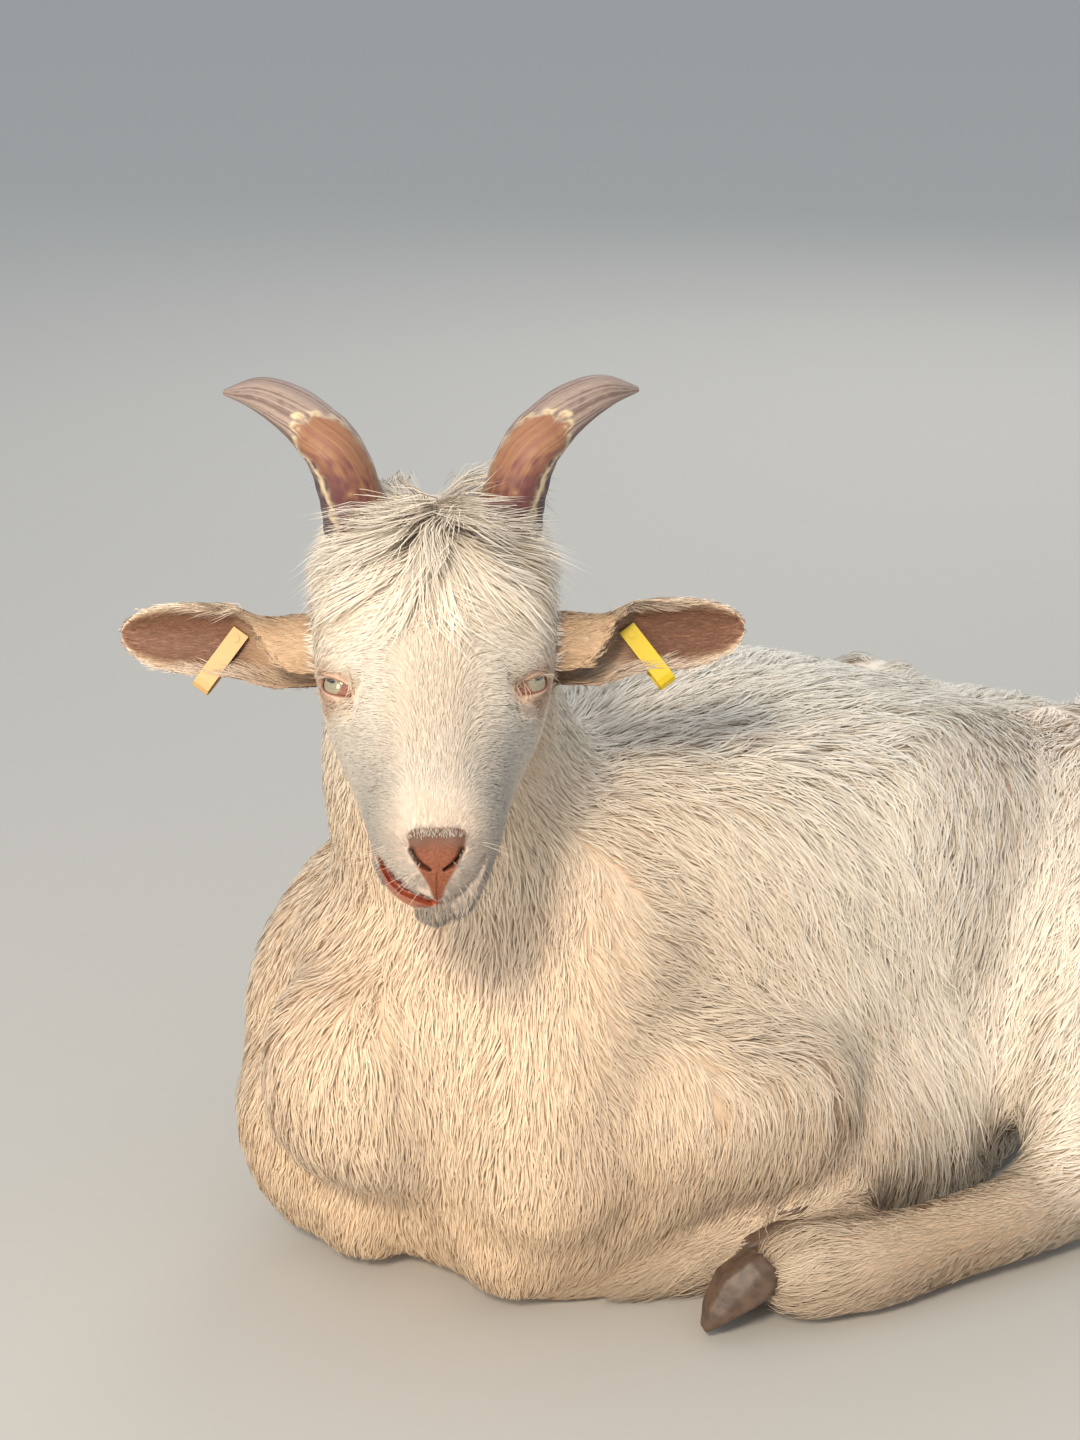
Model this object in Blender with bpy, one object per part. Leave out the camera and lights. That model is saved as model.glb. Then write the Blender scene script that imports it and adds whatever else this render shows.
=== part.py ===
"""A young horned goat at rest. It lies on its breastbone with its forelegs folded under it and its
left hind leg brought forward along the ground, and its head is turned half round to its own left.
Metres, +Z up, and the trunk faces -Y. The solids reach out to the tips of the coat."""

import math

import bmesh
import bpy
import numpy as np
from mathutils import Matrix, Vector

GAP = 0.0004  # left between neighbours
VOXEL = 0.005  # grain at which overlapping shapes become one skin
HEAD_TRIANGLES = 1250
BODY_TRIANGLES = 2100
CRUMB = 1e-5  # edges shorter than this are closed up

# The head: where its middle between the eyes is, and how far it is turned and bowed.
HEAD_PLACE = Vector((0.100, -0.079, 0.420))
HEAD_TURN = math.radians(47.1)
HEAD_BOW = math.radians(27)
EYE_SIDE = 0.0465
EYE_RADIUS = 0.0135


def material(name, colour, roughness):
    made = bpy.data.materials.new(name)
    made.use_nodes = True
    shader = made.node_tree.nodes["Principled BSDF"]
    shader.inputs["Base Color"].default_value = (*colour, 1)
    shader.inputs["Roughness"].default_value = roughness
    return made


def head_frame():
    """Axes of the head: n towards the nose, l to the goat's left, u up out of the forehead."""
    turn = Matrix.Rotation(HEAD_TURN, 4, "Z")
    bow = Matrix.Rotation(HEAD_BOW, 4, "X")
    axes = turn @ bow
    nose = axes @ Vector((0, -1, 0))
    left = axes @ Vector((1, 0, 0))
    up = axes @ Vector((0, 0, 1))
    frame = Matrix((nose, left, up)).transposed().to_4x4()
    frame.translation = HEAD_PLACE
    return frame


def even_curve(rows, per):
    """Catmull-Rom rows through the given ones, `per` to each span."""
    rows = np.array(rows, float)
    padded = np.vstack([2 * rows[0] - rows[1], rows, 2 * rows[-1] - rows[-2]])
    made = []
    for i in range(len(rows) - 1):
        a, b, c, d = padded[i : i + 4]
        for t in np.linspace(0, 1, per, endpoint=False):
            made.append(0.5 * (2 * b + (c - a) * t + (2 * a - 5 * b + 4 * c - d) * t**2
                               + (3 * b - 3 * c + d - a) * t**3))
    made.append(rows[-1])
    return np.array(made)


def tube_mesh(rows, per=4, sides=20, up=(0, 0, 1), power=2.0, caps=(30, 60, 80)):
    """A closed round-ended tube. Each row is x, y, z, half width and half height of one section."""
    path = even_curve(rows, per)
    points, wide, high = path[:, :3], path[:, 3], path[:, 4]
    along = np.gradient(points, axis=0)
    along /= np.linalg.norm(along, axis=1, keepdims=True)
    side = np.cross(along, np.array(up, float))
    side /= np.linalg.norm(side, axis=1, keepdims=True)
    above = np.cross(side, along)
    rings = []
    for k in range(len(points)):
        rings.append((points[k], side[k], above[k], wide[k], high[k]))
    ends = []
    for end, sign in ((0, -1), (-1, 1)):
        reach = min(wide[end], high[end])
        cap = []
        for angle in np.radians(caps):
            centre = points[end] + sign * along[end] * reach * math.sin(angle)
            small = math.cos(angle)
            cap.append((centre, side[end], above[end], wide[end] * small, high[end] * small))
        ends.append(cap)
    rings = ends[0][::-1] + rings + ends[1]
    bm = bmesh.new()
    loops = []
    for centre, across, over, half_wide, half_high in rings:
        loop = []
        for turn in np.linspace(0, 2 * math.pi, sides, endpoint=False):
            x, y = math.cos(turn), math.sin(turn)
            x = math.copysign(abs(x) ** (2 / power), x) * half_wide
            y = math.copysign(abs(y) ** (2 / power), y) * half_high
            loop.append(bm.verts.new(centre + across * x + over * y))
        loops.append(loop)
    for low, high_loop in zip(loops, loops[1:]):
        for i in range(sides):
            j = (i + 1) % sides
            bm.faces.new((low[i], low[j], high_loop[j], high_loop[i]))
    bm.faces.new(loops[0][::-1])
    bm.faces.new(loops[-1])
    bmesh.ops.recalc_face_normals(bm, faces=bm.faces)
    mesh = bpy.data.meshes.new("tube")
    bm.to_mesh(mesh)
    bm.free()
    return mesh


def ball_mesh(place, radii, frame=Matrix(), detail=(20, 14)):
    bm = bmesh.new()
    bmesh.ops.create_uvsphere(bm, u_segments=detail[0], v_segments=detail[1], radius=1)
    spot = frame @ Matrix.Translation(place) @ Matrix.Diagonal((*radii, 1))
    bmesh.ops.transform(bm, matrix=spot, verts=bm.verts)
    mesh = bpy.data.meshes.new("ball")
    bm.to_mesh(mesh)
    bm.free()
    return mesh


def box_mesh(low, high, frame=Matrix(), grow=0.0):
    low, high = Vector(low), Vector(high)
    bm = bmesh.new()
    size = high - low + Vector((2 * grow, 2 * grow, 2 * grow))
    bmesh.ops.create_cube(bm, size=1)
    spot = frame @ Matrix.Translation((low + high) / 2) @ Matrix.Diagonal((*size, 1))
    bmesh.ops.transform(bm, matrix=spot, verts=bm.verts)
    mesh = bpy.data.meshes.new("box")
    bm.to_mesh(mesh)
    bm.free()
    return mesh


def node(name, mesh, finish):
    mesh.materials.clear()
    mesh.materials.append(finish)
    made = bpy.data.objects.new(name, mesh)
    bpy.context.scene.collection.objects.link(made)
    return made


def settled(obj):
    """The object's mesh as its modifiers leave it. The object itself is removed."""
    graph = bpy.context.evaluated_depsgraph_get()
    mesh = bpy.data.meshes.new_from_object(obj.evaluated_get(graph), depsgraph=graph)
    bpy.data.objects.remove(obj)
    return mesh


def boolean(mesh, cutter, operation):
    body = bpy.data.objects.new("body", mesh)
    tool = bpy.data.objects.new("tool", cutter)
    for obj in (body, tool):
        bpy.context.scene.collection.objects.link(obj)
    cut = body.modifiers.new("cut", "BOOLEAN")
    cut.operation, cut.solver, cut.object, cut.use_self = operation, "EXACT", tool, True
    made = settled(body)
    bpy.data.objects.remove(tool)
    return largest_piece(made)


def largest_piece(mesh):
    """Only the biggest loose piece is kept: a cut across a curved body can leave crumbs."""
    bm = bmesh.new()
    bm.from_mesh(mesh)
    bmesh.ops.remove_doubles(bm, verts=bm.verts, dist=CRUMB)
    bmesh.ops.dissolve_degenerate(bm, edges=bm.edges, dist=CRUMB)
    bmesh.ops.triangulate(bm, faces=bm.faces)
    left, pieces = set(bm.verts), []
    while left:
        reached = [left.pop()]
        piece = set(reached)
        while reached:
            for edge in reached.pop().link_edges:
                for end in edge.verts:
                    if end in left:
                        left.remove(end)
                        piece.add(end)
                        reached.append(end)
        pieces.append(piece)
    pieces.sort(key=len)
    bmesh.ops.delete(bm, geom=[vert for piece in pieces[:-1] for vert in piece], context="VERTS")
    bm.to_mesh(mesh)
    bm.free()
    return mesh


def grown(mesh, by=2 * GAP):
    """A copy of the mesh moved out along its normals, which cuts a clear gap into a neighbour."""
    made = mesh.copy()
    normals = [vert.normal.copy() for vert in made.vertices]
    for vert, normal in zip(made.vertices, normals):
        vert.co += normal * by
    return made


def clear_of(mesh, *others):
    for other in others:
        mesh = boolean(mesh, grown(other), "DIFFERENCE")
        mesh = boolean(mesh, other.copy(), "DIFFERENCE")
    return mesh


def on_the_floor(mesh):
    return boolean(mesh, box_mesh((-2, -2, -1), (2, 2, 0)), "DIFFERENCE")


def joined(meshes, smooth, triangles):
    """One smooth closed skin round overlapping shapes."""
    bm = bmesh.new()
    for mesh in meshes:
        bm.from_mesh(mesh)
    whole = bpy.data.meshes.new("whole")
    bm.to_mesh(whole)
    bm.free()
    obj = bpy.data.objects.new("whole", whole)
    bpy.context.scene.collection.objects.link(obj)
    shell = obj.modifiers.new("shell", "REMESH")
    shell.mode, shell.voxel_size = "VOXEL", VOXEL
    soften = obj.modifiers.new("soften", "SMOOTH")
    soften.factor, soften.iterations = 0.5, smooth
    made = settled(obj)
    obj = bpy.data.objects.new("whole", made)
    bpy.context.scene.collection.objects.link(obj)
    faces = sum(len(face.vertices) - 2 for face in made.polygons)
    thin = obj.modifiers.new("thin", "DECIMATE")
    thin.ratio = triangles / faces
    return settled(obj)


def in_head(frame, rows):
    """Rows given along the head's own axes, as points of the whole goat with their sizes."""
    return [(*(frame @ Vector(row[:3])), *row[3:]) for row in rows]


def trunk_shapes():
    # y, underside, top, half width
    stations = ((-0.045, 0.075, 0.220, 0.066), (-0.012, 0.030, 0.268, 0.108),
                (0.045, -0.010, 0.302, 0.126), (0.120, -0.015, 0.326, 0.140),
                (0.200, -0.015, 0.342, 0.160), (0.300, -0.015, 0.333, 0.180),
                (0.400, -0.015, 0.300, 0.184), (0.490, -0.015, 0.264, 0.170),
                (0.560, -0.012, 0.250, 0.150), (0.610, -0.010, 0.234, 0.128),
                (0.650, 0.000, 0.208, 0.095), (0.670, 0.030, 0.180, 0.058))
    rows = [(0, y, (low + top) / 2, half, (top - low) / 2) for y, low, top, half in stations]
    return [tube_mesh(rows, sides=28, power=2.7)]


def shoulder_shapes(side, out):
    """Shoulder blade, point of the shoulder and upper arm. `out` moves the lower part outward."""
    blade = [(0.062 * side, 0.180, 0.250, 0.060, 0.045),
             (0.076 * side, 0.100, 0.222, 0.075, 0.058),
             ((0.085 + out) * side, 0.030, 0.165, 0.070, 0.060),
             ((0.092 + 1.5 * out) * side, 0.022, 0.095, 0.060, 0.052)]
    arm = [((0.085 + out) * side, 0.040, 0.130, 0.055, 0.060),
           (0.120 * side, 0.095, 0.125, 0.058, 0.068), (0.142 * side, 0.165, 0.102, 0.052, 0.064)]
    middle = ball_mesh((0.060 * side, 0.034, 0.105), (0.062, 0.062, 0.070))
    return [tube_mesh(blade, up=(side, 0, 0)), tube_mesh(arm), middle]


# Each row of a limb is x, y, z, half width, half height.
FOREARM_LEFT = [(0.138, 0.178, 0.108, 0.048, 0.052), (0.120, 0.118, 0.098, 0.048, 0.056),
                (0.094, 0.055, 0.075, 0.045, 0.053), (0.066, 0.012, 0.050, 0.042, 0.046)]
FOREARM_RIGHT = [(-0.130, 0.165, 0.100, 0.048, 0.052), (-0.102, 0.090, 0.088, 0.052, 0.056),
                 (-0.064, 0.030, 0.064, 0.047, 0.052), (-0.034, -0.012, 0.048, 0.043, 0.046)]
CANNON_LEFT = [(0.078, 0.034, 0.022, 0.025, 0.026), (0.122, 0.092, 0.024, 0.022, 0.025),
               (0.160, 0.142, 0.028, 0.022, 0.025), (0.186, 0.182, 0.034, 0.024, 0.027)]
CANNON_RIGHT = [(-0.046, 0.016, 0.022, 0.025, 0.026), (-0.090, 0.072, 0.024, 0.022, 0.025),
                (-0.128, 0.122, 0.028, 0.022, 0.025), (-0.154, 0.162, 0.034, 0.024, 0.027)]
THIGH_LEFT = [(0.070, 0.560, 0.165, 0.075, 0.085), (0.130, 0.485, 0.175, 0.072, 0.098),
              (0.186, 0.405, 0.140, 0.056, 0.080)]
SHANK_LEFT = [(0.196, 0.395, 0.120, 0.052, 0.064), (0.236, 0.350, 0.085, 0.042, 0.050),
              (0.262, 0.310, 0.052, 0.033, 0.038)]
METATARSUS_LEFT = [(0.268, 0.322, 0.044, 0.030, 0.036), (0.258, 0.270, 0.038, 0.025, 0.031),
                   (0.240, 0.205, 0.034, 0.024, 0.029), (0.224, 0.155, 0.032, 0.029, 0.032),
                   (0.204, 0.122, 0.034, 0.029, 0.031)]
THIGH_RIGHT = [(-0.070, 0.565, 0.165, 0.072, 0.082), (-0.125, 0.490, 0.150, 0.066, 0.090),
               (-0.160, 0.420, 0.115, 0.054, 0.070)]
SHANK_RIGHT = [(-0.162, 0.410, 0.110, 0.052, 0.062), (-0.178, 0.485, 0.080, 0.044, 0.052),
               (-0.184, 0.560, 0.050, 0.034, 0.038)]
METATARSUS_RIGHT = [(-0.196, 0.580, 0.034, 0.028, 0.032), (-0.210, 0.515, 0.026, 0.024, 0.027),
                    (-0.215, 0.445, 0.026, 0.025, 0.028), (-0.212, 0.405, 0.028, 0.027, 0.029)]
TAIL = [(0.000, 0.676, 0.208, 0.024, 0.018), (0.006, 0.712, 0.186, 0.029, 0.018),
        (0.010, 0.736, 0.146, 0.026, 0.016), (0.010, 0.742, 0.106, 0.014, 0.010)]


def head_shapes(frame):
    up = frame.col[2][:3]
    # along the nose, to the left, up, half width, half height
    skull = [(-0.074, 0, 0.004, 0.066, 0.060), (-0.045, 0, -0.004, 0.068, 0.065),
             (-0.020, 0, -0.012, 0.066, 0.063), (0.005, 0, -0.016, 0.061, 0.060),
             (0.030, 0, -0.018, 0.051, 0.053), (0.055, 0, -0.018, 0.042, 0.047),
             (0.085, 0, -0.018, 0.037, 0.039), (0.100, 0, -0.020, 0.035, 0.032),
             (0.112, 0, -0.023, 0.028, 0.022)]
    jaw = [(-0.050, 0, -0.044, 0.048, 0.042), (-0.020, 0, -0.046, 0.052, 0.040),
           (0.010, -0.001, -0.046, 0.050, 0.034), (0.040, -0.002, -0.045, 0.044, 0.026),
           (0.070, -0.004, -0.045, 0.035, 0.020), (0.100, -0.008, -0.046, 0.025, 0.014),
           (0.110, -0.009, -0.046, 0.018, 0.011)]
    return [tube_mesh(in_head(frame, skull), up=up, power=2.6), tube_mesh(in_head(frame, jaw), up=up)]


def neck_shapes():
    rows = [(-0.004, 0.110, 0.200, 0.100, 0.125), (-0.006, 0.060, 0.265, 0.088, 0.100),
            (0.004, 0.022, 0.335, 0.077, 0.080), (0.028, -0.006, 0.392, 0.066, 0.066),
            (0.055, -0.026, 0.432, 0.054, 0.054)]
    return [tube_mesh(rows, up=(0, 1, 0.3))]


def head_mesh(frame):
    return joined(head_shapes(frame) + neck_shapes(), 8, HEAD_TRIANGLES)


def body_mesh():
    shapes = trunk_shapes() + neck_shapes()
    shapes += shoulder_shapes(1, 0.0) + shoulder_shapes(-1, 0.010)
    shapes.append(ball_mesh((-0.077, -0.010, 0.086), (0.060, 0.058, 0.080)))
    for side in (1, -1):
        shapes.append(ball_mesh((0.078 * side, 0.515, 0.248), (0.036, 0.050, 0.030)))
        shapes.append(ball_mesh((0.095 * side, 0.580, 0.112), (0.070, 0.090, 0.098)))
        shapes.append(ball_mesh((0.045 * side, -0.004, 0.150), (0.052, 0.046, 0.085)))
        belly = [(0.140 * side, 0.205, 0.066, 0.050, 0.062), (0.150 * side, 0.300, 0.070, 0.052, 0.070),
                 (0.148 * side, 0.420, 0.085, 0.045, 0.070)]
        shapes.append(tube_mesh(belly))
    for rows in (FOREARM_LEFT, FOREARM_RIGHT, THIGH_LEFT, SHANK_LEFT, THIGH_RIGHT, SHANK_RIGHT):
        shapes.append(tube_mesh(rows))
    return joined(shapes, 10, BODY_TRIANGLES)


def horn_rows(frame, side):
    """A horn rises from the forehead, leans back and turns outward to its point."""
    rows = [(-0.076, 0.042 * side, 0.038, 0.0175, 0.020), (-0.082, 0.044 * side, 0.062, 0.0175, 0.020),
            (-0.090, 0.052 * side, 0.087, 0.0160, 0.0185), (-0.102, 0.064 * side, 0.096, 0.0140, 0.016),
            (-0.114, 0.077 * side, 0.100, 0.0120, 0.014), (-0.126, 0.094 * side, 0.100, 0.0085, 0.010),
            (-0.136, 0.113 * side, 0.093, 0.0015, 0.002)]
    return in_head(frame, rows)


class Ear:
    """The shape of one ear, in the head's axes: a cupped strap with a round tip. Its root is rolled
    into a tube with the slit below, and it turns open towards the nose over its outer half."""

    def __init__(self, side):
        self.side = side
        self.root = Vector((-0.046, 0.054 * side, -0.012))
        tip = Vector((-0.070, 0.174 * side, -0.026))
        self.length = (tip - self.root).length
        self.along = (tip - self.root).normalized()
        facing = Vector((0.82, 0, 0.57))
        self.opening = (facing - self.along * facing.dot(self.along)).normalized()
        self.across = self.opening.cross(self.along) * side

    def point(self, u, v):
        """u runs 0 at the root to 1 at the tip, v from -1 at the lower rim to 1 at the upper one."""
        half = 0.0185 + 0.0020 * math.sin(math.pi * u)
        half *= math.sqrt(max(0.015, 1 - max(0.0, (u - 0.60) / 0.402) ** 2.4))
        spread = min(1.0, max(0.0, (u - 0.12) / 0.40))
        spread = spread * spread * (3 - 2 * spread)
        wrap = math.radians(150 - 98 * spread)
        roll = math.radians(62 * (1 - spread))
        reach = half / math.sin(min(wrap, math.pi / 2))
        turn = wrap * v
        side_step = reach * math.sin(turn)
        front_step = reach * (math.cos(wrap / 2) - math.cos(turn))
        over = side_step * math.cos(roll) - front_step * math.sin(roll)
        out = side_step * math.sin(roll) + front_step * math.cos(roll)
        return self.root + self.along * self.length * u + self.across * over + self.opening * out

    def mesh(self, frame, thick=0.0034, rows=10, columns=8, crowd=1.35):
        """`crowd` above 1 sets the rows closer together towards the tip, where it rounds off."""
        bm = bmesh.new()
        grid = []
        for i in range(rows):
            u = 1 - (1 - i / (rows - 1)) ** crowd
            across = np.linspace(-1, 1, columns)
            grid.append([bm.verts.new(frame @ self.point(u, v)) for v in across])
        for low, high in zip(grid, grid[1:]):
            for a, b, c, d in zip(low, low[1:], high[1:], high):
                bm.faces.new((a, b, c, d))
        return thickened(bm, thick)


def thickened(bm, thick):
    mesh = bpy.data.meshes.new("sheet")
    bm.to_mesh(mesh)
    bm.free()
    obj = bpy.data.objects.new("sheet", mesh)
    bpy.context.scene.collection.objects.link(obj)
    wall = obj.modifiers.new("wall", "SOLIDIFY")
    wall.thickness, wall.offset = thick, 0.0
    made = settled(obj)
    bm = bmesh.new()
    bm.from_mesh(made)
    bmesh.ops.recalc_face_normals(bm, faces=bm.faces)
    bm.to_mesh(made)
    bm.free()
    return made


def tag_frame(frame, ear):
    """Axes of an ear tag at its pin: x down the tag, y across it, z out of the ear's hollow side."""
    pin = ear.point(0.47, -0.05)
    down = (ear.along * 0.52 - ear.across * 0.78 + ear.opening * 0.34).normalized()
    out = (ear.opening - down * ear.opening.dot(down)).normalized()
    made = Matrix((down, out.cross(down), out)).transposed().to_4x4()
    made.translation = pin
    return frame @ made


def tag_meshes(place, length=0.029, half_width=0.005, half_gap=0.0056, thick=0.0012, pin=0.0022):
    """A strip folded round the ear's lower edge, with a pin through both leaves, and the pin's hole."""
    above_pin = -0.005
    path = [(above_pin, half_gap)]
    for angle in np.linspace(math.pi / 2, -math.pi / 2, 6):
        path.append((length + half_gap * math.cos(angle), half_gap * math.sin(angle)))
    path.append((above_pin, -half_gap))
    shrink = (half_gap - thick) / half_gap
    inner = [(length + (x - length) * shrink if x > length else x, z * shrink) for x, z in path]
    loop = path + inner[::-1]
    bm = bmesh.new()
    low = [bm.verts.new(place @ Vector((x, -half_width, z))) for x, z in loop]
    high = [bm.verts.new(place @ Vector((x, half_width, z))) for x, z in loop]
    count, half = len(loop), len(path)
    for i in range(count):
        j = (i + 1) % count
        bm.faces.new((low[i], low[j], high[j], high[i]))
    for side in (low, high):
        for i in range(half - 1):
            bm.faces.new((side[i], side[i + 1], side[count - 2 - i], side[count - 1 - i]))
    bmesh.ops.recalc_face_normals(bm, faces=bm.faces)
    strip = bpy.data.meshes.new("strip")
    bm.to_mesh(strip)
    bm.free()
    pinned = boolean(strip, rod_mesh(place, pin, half_gap + thick / 2), "UNION")
    return pinned, rod_mesh(place, pin + GAP, 3 * half_gap)


def rod_mesh(place, radius, half):
    bm = bmesh.new()
    sizes = {"radius1": radius, "radius2": radius, "depth": 2 * half}
    bmesh.ops.create_cone(bm, cap_ends=True, segments=8, **sizes)
    bmesh.ops.transform(bm, matrix=place, verts=bm.verts)
    mesh = bpy.data.meshes.new("rod")
    bm.to_mesh(mesh)
    bm.free()
    return mesh


APART = 0.0115  # from the middle of a foot to the middle of each claw


def claw_mesh(place, toe, top, side):
    """One half of a cloven hoof: a blunt wedge with a flat sole. `toe` and `top` are its directions."""
    toe, top = Vector(toe).normalized(), Vector(top)
    top = (top - toe * top.dot(toe)).normalized()
    across = top.cross(toe)
    frame = Matrix((toe, across, top)).transposed().to_4x4()
    frame.translation = Vector(place) + across * APART * side
    rows = [(-0.016, 0, 0.004, 0.0105, 0.014), (0.0, 0, 0.0, 0.011, 0.017),
            (0.018, -0.002 * side, -0.006, 0.0085, 0.011), (0.026, -0.004 * side, -0.009, 0.005, 0.005)]
    mesh = tube_mesh(in_head(frame, rows), per=1, sides=8, up=top, power=2.5, caps=(50,))
    sole = box_mesh((-0.05, -0.05, -0.05), (0.05, 0.05, -0.011), frame)
    return boolean(mesh, sole, "DIFFERENCE")


def plane_frame(point, normal):
    """A frame on a plane, its z along the normal."""
    turn = Vector((0, 0, 1)).rotation_difference(Vector(normal).normalized())
    return Matrix.Translation(point) @ turn.to_matrix().to_4x4()


def head_cell(frame, grow):
    """The head is all in front of a plane behind the poll and the jaw, and above one under the jaw."""
    behind = frame @ plane_frame((-0.122, 0, 0.03), (0.84, 0, 0.54))
    front = box_mesh((-0.4, -0.4, 0), (0.4, 0.4, 0.5), behind, grow)
    above = box_mesh((-0.4, -0.4, -0.104), (0.4, 0.4, 0.4), frame, grow)
    return boolean(front, above, "INTERSECT")


def neck_cell(grow):
    """The neck is all in front of a plane across its root."""
    root = plane_frame((0, 0.120, 0.362), (0, -0.50, 0.866))
    return box_mesh((-0.4, -0.4, 0), (0.4, 0.4, 0.5), root, grow)


def leg_cell(top, foot, inside, over, before, after, grow):
    """A box along a leg. It reaches `inside` its axis and without end outward, `over` it and down to
    below the ground, and `before` its upper end to `after` its foot end."""
    top, foot = Vector(top), Vector(foot)
    along = (foot - top).normalized()
    outward = Vector((math.copysign(1, top.x + foot.x), 0, 0))
    outward = (outward - along * outward.dot(along)).normalized()
    above = along.cross(outward)
    above *= math.copysign(1, above.z)
    frame = Matrix((along, outward, above)).transposed().to_4x4()
    frame.translation = top
    mesh = box_mesh((-before, -inside, -0.3), ((foot - top).length + after, 0.3, over), frame, grow)
    if frame.determinant() < 0:
        mesh.flip_normals()
    return mesh


def split(flesh, cell_of):
    """(the piece inside the cell, what is left of the flesh) with a gap between them."""
    piece = boolean(flesh.copy(), cell_of(0), "INTERSECT")
    return piece, boolean(flesh, cell_of(GAP), "DIFFERENCE")


def body_nodes(frame, coat):
    head = boolean(head_mesh(frame), head_cell(frame, 0), "INTERSECT")
    whole = body_mesh()
    flesh = boolean(on_the_floor(whole.copy()), head_cell(frame, GAP), "DIFFERENCE")
    neck, flesh = split(flesh, neck_cell)
    # upper end, foot end, then how far the cell reaches inside, over, before and after
    limbs = {
        "foreleg_left": ((0.148, 0.185, 0.100), (0.066, 0.010, 0.050), 0.045, 0.060, 0.060, 0.060),
        "foreleg_right": ((-0.130, 0.165, 0.092), (-0.034, -0.012, 0.048), 0.045, 0.064, 0.060, 0.060),
        "hindleg_left": ((0.110, 0.520, 0.185), (0.262, 0.310, 0.052), 0.050, 0.300, 0.075, 0.060),
        "hindleg_right": ((-0.120, 0.430, 0.130), (-0.168, 0.575, 0.050), 0.055, 0.300, 0.070, 0.060),
    }
    pieces = {"neck": neck}
    for name, sizes in limbs.items():
        pieces[name], flesh = split(flesh, lambda grow: leg_cell(*sizes, grow))
    pieces["trunk"] = flesh
    for side in (1, -1):
        socket = ball_mesh((0, EYE_SIDE * side, 0), [EYE_RADIUS + GAP] * 3, frame, (16, 10))
        look = plane_frame((0.002, (EYE_SIDE + 0.004) * side, 0), (0.60, 0.78 * side, 0.10))
        opening = [(0, 0, 0, 0.0105, 0.0085), (0, 0, 0.02, 0.014, 0.012)]
        window = tube_mesh(in_head(frame @ look, opening), per=2, sides=14, up=frame.col[2][:3])
        head = boolean(head, boolean(socket, window, "UNION"), "DIFFERENCE")
    pieces["head"] = head
    for name, mesh in pieces.items():
        node(name, mesh, coat)
    return head.copy(), whole


def build():
    frame = head_frame()
    coat = material("cream coat", (0.80, 0.68, 0.50), 0.8)
    horn = material("horn", (0.30, 0.22, 0.18), 0.6)
    hoof = material("hoof", (0.10, 0.07, 0.05), 0.5)
    eye = material("eye", (0.45, 0.44, 0.32), 0.1)
    plastic = {"left": material("yellow plastic", (0.85, 0.70, 0.03), 0.4),
               "right": material("faded plastic", (0.62, 0.45, 0.22), 0.5)}
    head, flesh = body_nodes(frame, coat)
    shins = (("hind_cannon_left", METATARSUS_LEFT), ("hind_cannon_right", METATARSUS_RIGHT),
             ("fore_cannon_left", CANNON_LEFT), ("fore_cannon_right", CANNON_RIGHT))
    cannons = []
    for name, rows in shins:
        cannons.append(clear_of(tube_mesh(rows, per=2, sides=8, caps=(35, 70)), flesh, *cannons))
        node(name, on_the_floor(cannons[-1].copy()), coat)
    node("tail", clear_of(tube_mesh(TAIL, per=2, sides=10, up=(0, -1, 0.4)), flesh), coat)
    nose = frame.col[0][:3]
    for name, side in (("left", 1), ("right", -1)):
        spike = tube_mesh(horn_rows(frame, side), per=2, sides=9, up=nose)
        node("horn_" + name, clear_of(spike, head), horn)
        globe = ball_mesh((0, EYE_SIDE * side, 0), [EYE_RADIUS] * 3, frame, (12, 8))
        node("eye_" + name, globe, eye)
        ear = Ear(side)
        tag, hole = tag_meshes(tag_frame(frame, ear))
        node("ear_tag_" + name, tag, plastic[name])
        node("ear_" + name, boolean(clear_of(ear.mesh(frame), head, tag), hole, "DIFFERENCE"), coat)
    # where the foot is, and which way its toe and its upper side point
    feet = (("fore_left", (0.172, 0.134, 0.040), (-0.64, -0.77, 0.05), (0.1, -0.1, 1)),
            ("fore_right", (-0.160, 0.100, 0.037), (0.64, -0.77, 0.05), (-0.1, -0.1, 1)),
            ("hind_left", (0.184, 0.084, 0.026), (-0.45, -0.75, -0.45), (-0.5, 0.0, 1)),
            ("hind_right", (-0.208, 0.362, 0.022), (0.15, -0.95, -0.2), (-0.3, 0, 1)))
    solid = [flesh, *cannons]
    for name, place, toe, top in feet:
        for word, side in (("outer", 1), ("inner", -1)):
            solid.append(clear_of(claw_mesh(place, toe, top, side), *solid))
            node(f"claw_{name}_{word}", on_the_floor(solid[-1].copy()), hoof)
    rest_on_origin()


def rest_on_origin():
    """All nodes hang on one empty, placed so that the middle of the goat's base is at the origin."""
    nodes = [obj for obj in bpy.data.objects if obj.type == "MESH"]
    spots = np.array([vert.co for obj in nodes for vert in obj.data.vertices])
    middle = (spots.min(axis=0) + spots.max(axis=0)) / 2
    stand = bpy.data.objects.new("goat", None)
    stand.location = (-middle[0], -middle[1], 0)
    bpy.context.scene.collection.objects.link(stand)
    for obj in nodes:
        obj.parent = stand


for old in list(bpy.data.objects):
    bpy.data.objects.remove(old)
build()
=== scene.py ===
import math

import bmesh
import bpy
import numpy as np
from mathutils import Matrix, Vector
from mathutils.bvhtree import BVHTree
from mathutils.kdtree import KDTree


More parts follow.
